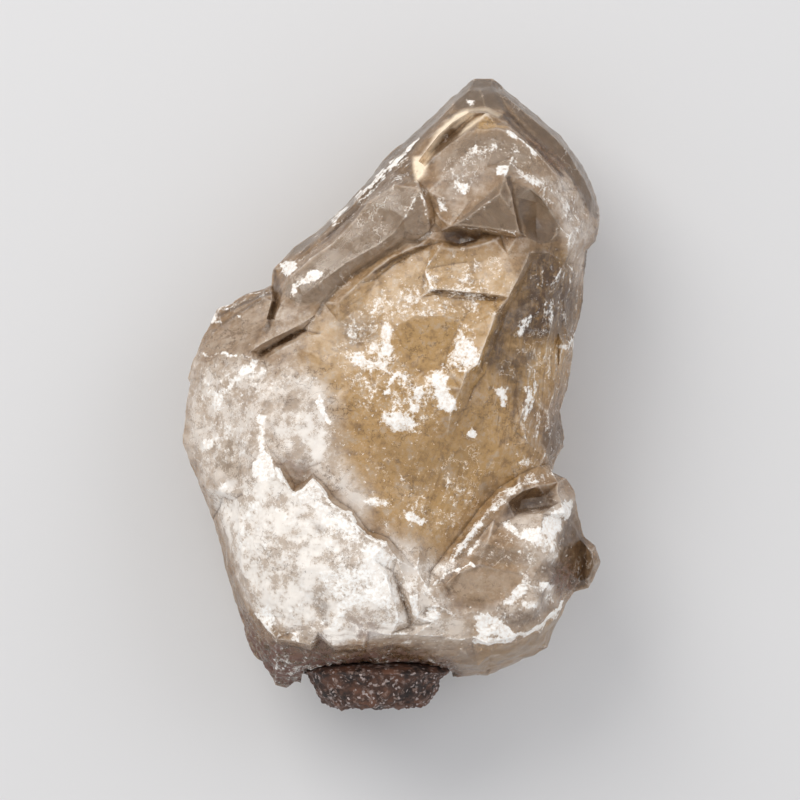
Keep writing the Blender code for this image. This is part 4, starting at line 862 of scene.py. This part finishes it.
# Each sum: its name, its operation and its parts, which are numbers or names of earlier sums
SUMS = [
    # Flecks of frost from a fifth of a millimetre up to a few, drawn out along the growth lines
    ("broken part", "MULTIPLY", "broken", 0.70),
    ("fine part", "MULTIPLY", "fine", 0.30),
    ("flecks", "ADD", "broken part", "fine part"),
    ("lines about zero", "SUBTRACT", "lines", 0.5),
    ("line strength", "MULTIPLY", "streaky", 0.55),
    ("drawn out", "MULTIPLY", "lines about zero", "line strength"),
    ("drawn flecks", "ADD", "flecks", "drawn out"),
    ("bare", "STEP", "frost_and_highlight", 0.0, 1.0, 0.69, 0.385),
    ("above bare", "SUBTRACT", "drawn flecks", "bare"),
    ("crust of flecks", "STEP", "above bare", -0.045, 0.10),
    # Pinhead specks, and hairline cracks that are white with air or brown with iron
    ("more specks", "MULTIPLY", "frost_and_highlight", 0.10),
    ("speck height", "ADD", "speckled", "more specks"),
    ("specks", "STEP", "speck height", 0.65, 0.70),
    ("specks off clear", "STEP", "clear", 0.3, 0.9, 0.75, 0.19),
    ("white specks", "MULTIPLY", "specks", "specks off clear"),
    ("brown specks", "STEP", "speckled", 0.37, 0.34, 0.0, 0.5),
    ("off the white line", "SUBTRACT", "cracked", 0.54),
    ("from the white line", "ABSOLUTE", "off the white line"),
    ("white line", "STEP", "from the white line", 0.007, 0.002, 0.0, 0.5),
    ("white places", "STEP", "patchy", 0.52, 0.62),
    ("white cracks", "MULTIPLY", "white line", "white places"),
    ("off the brown line", "SUBTRACT", "cracked", 0.45),
    ("from the brown line", "ABSOLUTE", "off the brown line"),
    ("brown line", "STEP", "from the brown line", 0.008, 0.002, 0.0, 0.6),
    ("brown places", "STEP", "patchy", 0.56, 0.46),
    ("brown cracks", "MULTIPLY", "brown line", "brown places"),
    ("crust and specks", "MAXIMUM", "crust of flecks", "white specks"),
    ("crust", "MAXIMUM", "crust and specks", "white cracks"),
    ("white", "MULTIPLY", "crust", 0.95),
    # Milky film with a painted edge highlight, stain with painted shade, dust and the light and dark of
    # the growth lines
    ("cloud", "STEP", "cloudy", 0.40, 0.58, 0.5, 1.2),
    ("haze", "MULTIPLY", "film_and_highlight", "cloud"),
    ("blots", "STEP", "stained", 0.32, 0.62, 0.6, 1.15),
    ("stain_and_shade", "MULTIPLY", "smoke_and_shade", "blots"),
    ("crumbs", "STEP", "stained", 0.57, 0.45),
    ("grime", "MULTIPLY", "dust", "crumbs"),
    ("dark mottle", "STEP", "mottled", 0.34, 0.52, 0.55, 0.0),
    ("pale mottle", "STEP", "mottled", 0.50, 0.66, 0.0, 0.6),
    ("dark line", "STEP", "lines", 0.50, 0.30, 0.0, 0.75),
    ("dark lines", "MULTIPLY", "dark line", "streaky"),
    ("pale line", "STEP", "lines", 0.52, 0.70, 0.0, 0.6),
    ("pale lines", "MULTIPLY", "pale line", "streaky"),
    ("tint left", "STEP", "honey", 0.2, 1.0, 0.45, 0.05),
    ("clear tint", "MULTIPLY", "clear", "tint left"),
    ("frost grain", "STEP", "fine", 0.38, 0.58),
    ("splinter grain", "STEP", "fine", 0.30, 0.50, 0.55, 1.0),
    ("splinters", "MULTIPLY", "cream", "splinter grain"),
    # How much light goes in
    ("past crust", "SUBTRACT", 1.0, "white"),
    ("film stops", "MULTIPLY", "haze", 0.72),
    ("past film", "SUBTRACT", 1.0, "film stops"),
    ("past both", "MULTIPLY", "past crust", "past film"),
    ("soundness", "STEP", "clear", 0.0, 1.0, 0.50, 0.86),
    ("into sound", "MULTIPLY", "past both", "soundness"),
    ("opaque", "MAXIMUM", "grime", "cream"),
    ("past opaque", "SUBTRACT", 1.0, "opaque"),
    ("let through", "MULTIPLY", "into sound", "past opaque"),
    # How dull the skin is: sound faces have a glassy lustre, crust and dust have none
    ("broken face", "STEP", "clear", 0.0, 1.0, 0.26, 0.07),
    ("dull crust", "MULTIPLY", "crust", 0.62),
    ("dull film", "MULTIPLY", "haze", 0.42),
    ("dull grime", "MULTIPLY", "grime", 0.7),
    ("face or crust", "MAXIMUM", "broken face", "dull crust"),
    ("or film", "MAXIMUM", "face or crust", "dull film"),
    ("dullness", "MAXIMUM", "or film", "dull grime"),
    # The finest relief: broken grain, growth lines and small chips
    ("grain relief", "MULTIPLY", "broken", 0.6),
    ("line relief", "MULTIPLY", "lines", "streaky"),
    ("low line relief", "MULTIPLY", "line relief", 0.35),
    ("chip depth", "STEP", "clear", 0.0, 0.8, 0.55, 0.06),
    ("chip relief", "MULTIPLY", "chips", "chip depth"),
    ("grain and lines", "ADD", "grain relief", "low line relief"),
    ("relief", "ADD", "grain and lines", "chip relief"),
]
for name, operation, *parts in SUMS:
    settings = {i: part for i, part in enumerate(parts) if not isinstance(part, str)}
    links = {i: fields[part] for i, part in enumerate(parts) if isinstance(part, str)}
    if operation == "STEP":
        kind = "ShaderNodeMapRange"
        settings["interpolation_type"] = "SMOOTHSTEP"
    else:
        kind = "ShaderNodeMath"
        settings["operation"] = operation
    fields[name] = add(tree, kind, settings, links).outputs[0]

frost_colours = {"data_type": "RGBA", 6: DULL_FROST_AND_HIGHLIGHT, 7: WHITE_FROST_AND_HIGHLIGHT}
frost_white = add(tree, "ShaderNodeMix", frost_colours, {0: fields["frost grain"]}).outputs[2]
stained_quartz = {"data_type": "RGBA", 6: SMOKY_QUARTZ, 7: HONEY_QUARTZ}
body = add(tree, "ShaderNodeMix", stained_quartz, {0: fields["honey"]}).outputs[2]
LAYERS = [
    ("dark mottle", MOTTLE_DARK), ("pale mottle", MOTTLE_PALE), ("haze", MILKY_FILM_AND_HIGHLIGHT),
    ("dark lines", MOTTLE_DARK), ("pale lines", MOTTLE_PALE), ("stain_and_shade", STAIN_AND_SHADE_BROWN),
    ("clear tint", CLEAR_QUARTZ), ("brown specks", STAIN_AND_SHADE_BROWN), ("brown cracks", STAIN_AND_SHADE_BROWN),
    ("white", frost_white), ("splinters", CREAM_QUARTZ), ("grime", ROCK_DUST),
]
for amount, colour in LAYERS:
    settings = {"data_type": "RGBA"}
    links = {0: fields[amount], 6: body}
    if isinstance(colour, tuple):
        settings[7] = colour
    else:
        links[7] = colour
    body = add(tree, "ShaderNodeMix", settings, links).outputs[2]
tree.links.new(body, shader.inputs["Base Color"])
tree.links.new(fields["let through"], shader.inputs["Transmission Weight"])
tree.links.new(fields["dullness"], shader.inputs["Roughness"])

# The finest relief is too low for the mesh: it stands out by less than a third of a millimetre
FINE_RELIEF = 0.3
low_bump = {"Distance": FINE_RELIEF * MM, "Strength": 0.5}
bump = add(tree, "ShaderNodeBump", low_bump, {"Height": fields["relief"]})
tree.links.new(bump.outputs[0], shader.inputs["Normal"])

# What a metre of the stone swallows: blue most and red least, so that depth turns to honey
DEPTH_COLOUR = (0.64, 0.50, 0.16, 1.0)
DEPTH_DENSITY = 7.0
absorbed = {"Color": DEPTH_COLOUR, "Density": DEPTH_DENSITY}
absorb = add(tree, "ShaderNodeVolumeAbsorption", absorbed)
tree.links.new(absorb.outputs[0], tree.nodes["Material Output"].inputs["Volume"])
data.materials.clear()
data.materials.append(quartz)
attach(crystal, "root")
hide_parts("citrine_crystal")

# The remnant of host rock
# A dark, granular rock that the crystal grew from, broken off under it. Its face is a crust of small
# lumps and glinting grains, brown-black with paler streaks.

ROCK_EDGE = 0.42
LUMP_SIZE = 2.6
LUMP_DEPTH = 1.2
GRAIN_SIZE = 1.0
GRAIN_DEPTH = 0.7
LEFT_OUTSIDE = 0.35
SEAT_RIM = -49.4
RIM_WIDTH = 1.2
ROCK_CRISP_ANGLE = 32

rock = refined("matrix_foot", "host_rock_crust", ROCK_EDGE, ROCK_EDGE)
rock_data = rock.data
rock_rest = places_of(rock_data)
rock_facing = normals_of(rock_data)
lumps = np.array([noise.voronoi(Vector(p) / LUMP_SIZE)[0][0] for p in rock_rest])
grains = np.array([noise.voronoi(Vector(p) / GRAIN_SIZE)[0][0] for p in rock_rest])
sunk = np.maximum(lumps * LUMP_DEPTH + grains * GRAIN_DEPTH - LEFT_OUTSIDE, 0.0)
outside = 1.0 - smooth(SEAT_RIM - RIM_WIDTH, SEAT_RIM, rock_rest[:, 1])
rock_moved = (rock_rest - rock_facing * (sunk * outside)[:, None]) * MM
rock_data.vertices.foreach_set("co", rock_moved.ravel())
rock_data.update()
rock_data.shade_smooth()
rock_data.set_sharp_from_angle(angle=math.radians(ROCK_CRISP_ANGLE))

# Iron-stained rock: dull, near black in the hollows, with small quartz grains that catch the light
ROCK_BLACK = linear("#1C100D")
ROCK_BROWN = linear("#63402F")
ROCK_STREAK = linear("#867067")
ROCK_GLINT = linear("#A2938F")
GLINT_SIZE = 0.45

host_rock = bpy.data.materials.new("iron_stained_host_rock")
host_rock.use_nodes = True
tree = host_rock.node_tree
shader = tree.nodes["Principled BSDF"]
fields = {}
spot = add(tree, "ShaderNodeTexCoord").outputs["Object"]
for name, size, detail, rough in (("patches", 3.0, 7.0, 0.65), ("streaks", 1.2, 6.0, 0.7)):
    settings = {"Scale": 1.0 / (size * MM), "Detail": detail, "Roughness": rough}
    fields[name] = add(tree, "ShaderNodeTexNoise", settings, {"Vector": spot}).outputs["Fac"]
cells = add(tree, "ShaderNodeTexVoronoi", {"Scale": 1.0 / (GLINT_SIZE * MM)}, {"Vector": spot})
fields["grains"] = add(tree, "ShaderNodeSeparateColor", links={0: cells.outputs["Color"]}).outputs[0]
for name, source, *limits in (
    ("brown", "patches", 0.35, 0.65, 0.0, 1.0), ("streaked", "streaks", 0.53, 0.64, 0.0, 1.0),
    ("glint", "grains", 0.91, 0.95, 0.0, 1.0), ("dullness", "glint", 0.0, 1.0, 0.62, 0.18),
):
    settings = {i + 1: limit for i, limit in enumerate(limits)}
    settings["interpolation_type"] = "SMOOTHSTEP"
    fields[name] = add(tree, "ShaderNodeMapRange", settings, {0: fields[source]}).outputs[0]
rock_colours = {"data_type": "RGBA", 6: ROCK_BLACK, 7: ROCK_BROWN}
body = add(tree, "ShaderNodeMix", rock_colours, {0: fields["brown"]}).outputs[2]
for amount, colour in (("streaked", ROCK_STREAK), ("glint", ROCK_GLINT)):
    links = {0: fields[amount], 6: body}
    body = add(tree, "ShaderNodeMix", {"data_type": "RGBA", 7: colour}, links).outputs[2]
tree.links.new(body, shader.inputs["Base Color"])
tree.links.new(fields["dullness"], shader.inputs["Roughness"])
rough_bump = {"Distance": FINE_RELIEF * MM, "Strength": 0.7}
bump = add(tree, "ShaderNodeBump", rough_bump, {"Height": fields["streaks"]})
tree.links.new(bump.outputs[0], shader.inputs["Normal"])
rock_data.materials.clear()
rock_data.materials.append(host_rock)
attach(rock, "root")
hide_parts("matrix_foot")

# The table
# A sheet of pale, matt card that the stone lies on. It is wide enough to fill the view, and it lies
# a hair lower than the stone's resting face, so that the two don't flicker.

HALF = 1.5
CARD_DROP = 0.3
card_mesh = bpy.data.meshes.new("pale_card")
corners = [(-HALF, -HALF, 0), (HALF, -HALF, 0), (HALF, HALF, 0), (-HALF, HALF, 0)]
card_mesh.from_pydata(corners, [], [(0, 1, 2, 3)])
card = bpy.data.objects.new("pale_card", card_mesh)
bpy.context.scene.collection.objects.link(card)
card.location.z = -CARD_DROP * MM
card_material = bpy.data.materials.new("matt_pale_card")
card_material.use_nodes = True
shader = card_material.node_tree.nodes["Principled BSDF"]
shader.inputs["Base Color"].default_value = linear("#D6D6D8")
shader.inputs["Roughness"].default_value = 0.9
card_mesh.materials.append(card_material)

# Light
# A bright, pale room, with a large soft window up and to the left, and a weaker one far off to the
# right.

ROOM_STRENGTH = 0.78
WINDOW_SIZE = 0.6
AIM = (0, 0, 0.02)
world = bpy.data.worlds.new("pale_room")
bpy.context.scene.world = world
world.use_nodes = True
world.node_tree.nodes["Background"].inputs[0].default_value = linear("#F8F8F8")
world.node_tree.nodes["Background"].inputs[1].default_value = ROOM_STRENGTH


def soft_light(name, place, watts, colour):
    """A large square lamp that points at the stone."""
    lamp = bpy.data.lights.new(name, "AREA")
    lamp.size = WINDOW_SIZE
    lamp.energy = watts
    lamp.color = linear(colour)[:3]
    holder = bpy.data.objects.new(name, lamp)
    bpy.context.scene.collection.objects.link(holder)
    holder.location = place
    holder.rotation_euler = (Vector(AIM) - Vector(place)).to_track_quat("-Z", "Y").to_euler()


soft_light("window", (-0.45, 0.55, 0.75), 5.0, "#FFFCF6")
soft_light("far_window", (0.7, 0.3, 0.9), 1.6, "#F6F9FF")

# The camera
# It looks straight down from a metre and a half, as the photograph looks at the front of the stone.
# Its view is 144 mm wide at the height of the stone's girdle.

CAMERA_HEIGHT = 1.5
CAMERA_ASIDE = (0.0015, -0.0009)
GIRDLE_HEIGHT = 0.02
VIEW_WIDTH = 0.144
SENSOR = 36.0
camera_data = bpy.data.cameras.new("camera")
camera_data.sensor_width = SENSOR
camera_data.lens = SENSOR * (CAMERA_HEIGHT - GIRDLE_HEIGHT) / VIEW_WIDTH
camera = bpy.data.objects.new("camera", camera_data)
bpy.context.scene.collection.objects.link(camera)
camera.location = (*CAMERA_ASIDE, CAMERA_HEIGHT)
bpy.context.scene.camera = camera
bpy.context.scene.view_settings.view_transform = "Standard"

# Light goes through up to six faces of clear quartz before it fades
cycles = bpy.context.scene.cycles
cycles.max_bounces = 6
cycles.transmission_bounces = 6
cycles.diffuse_bounces = 3
cycles.glossy_bounces = 3
cycles.volume_bounces = 0
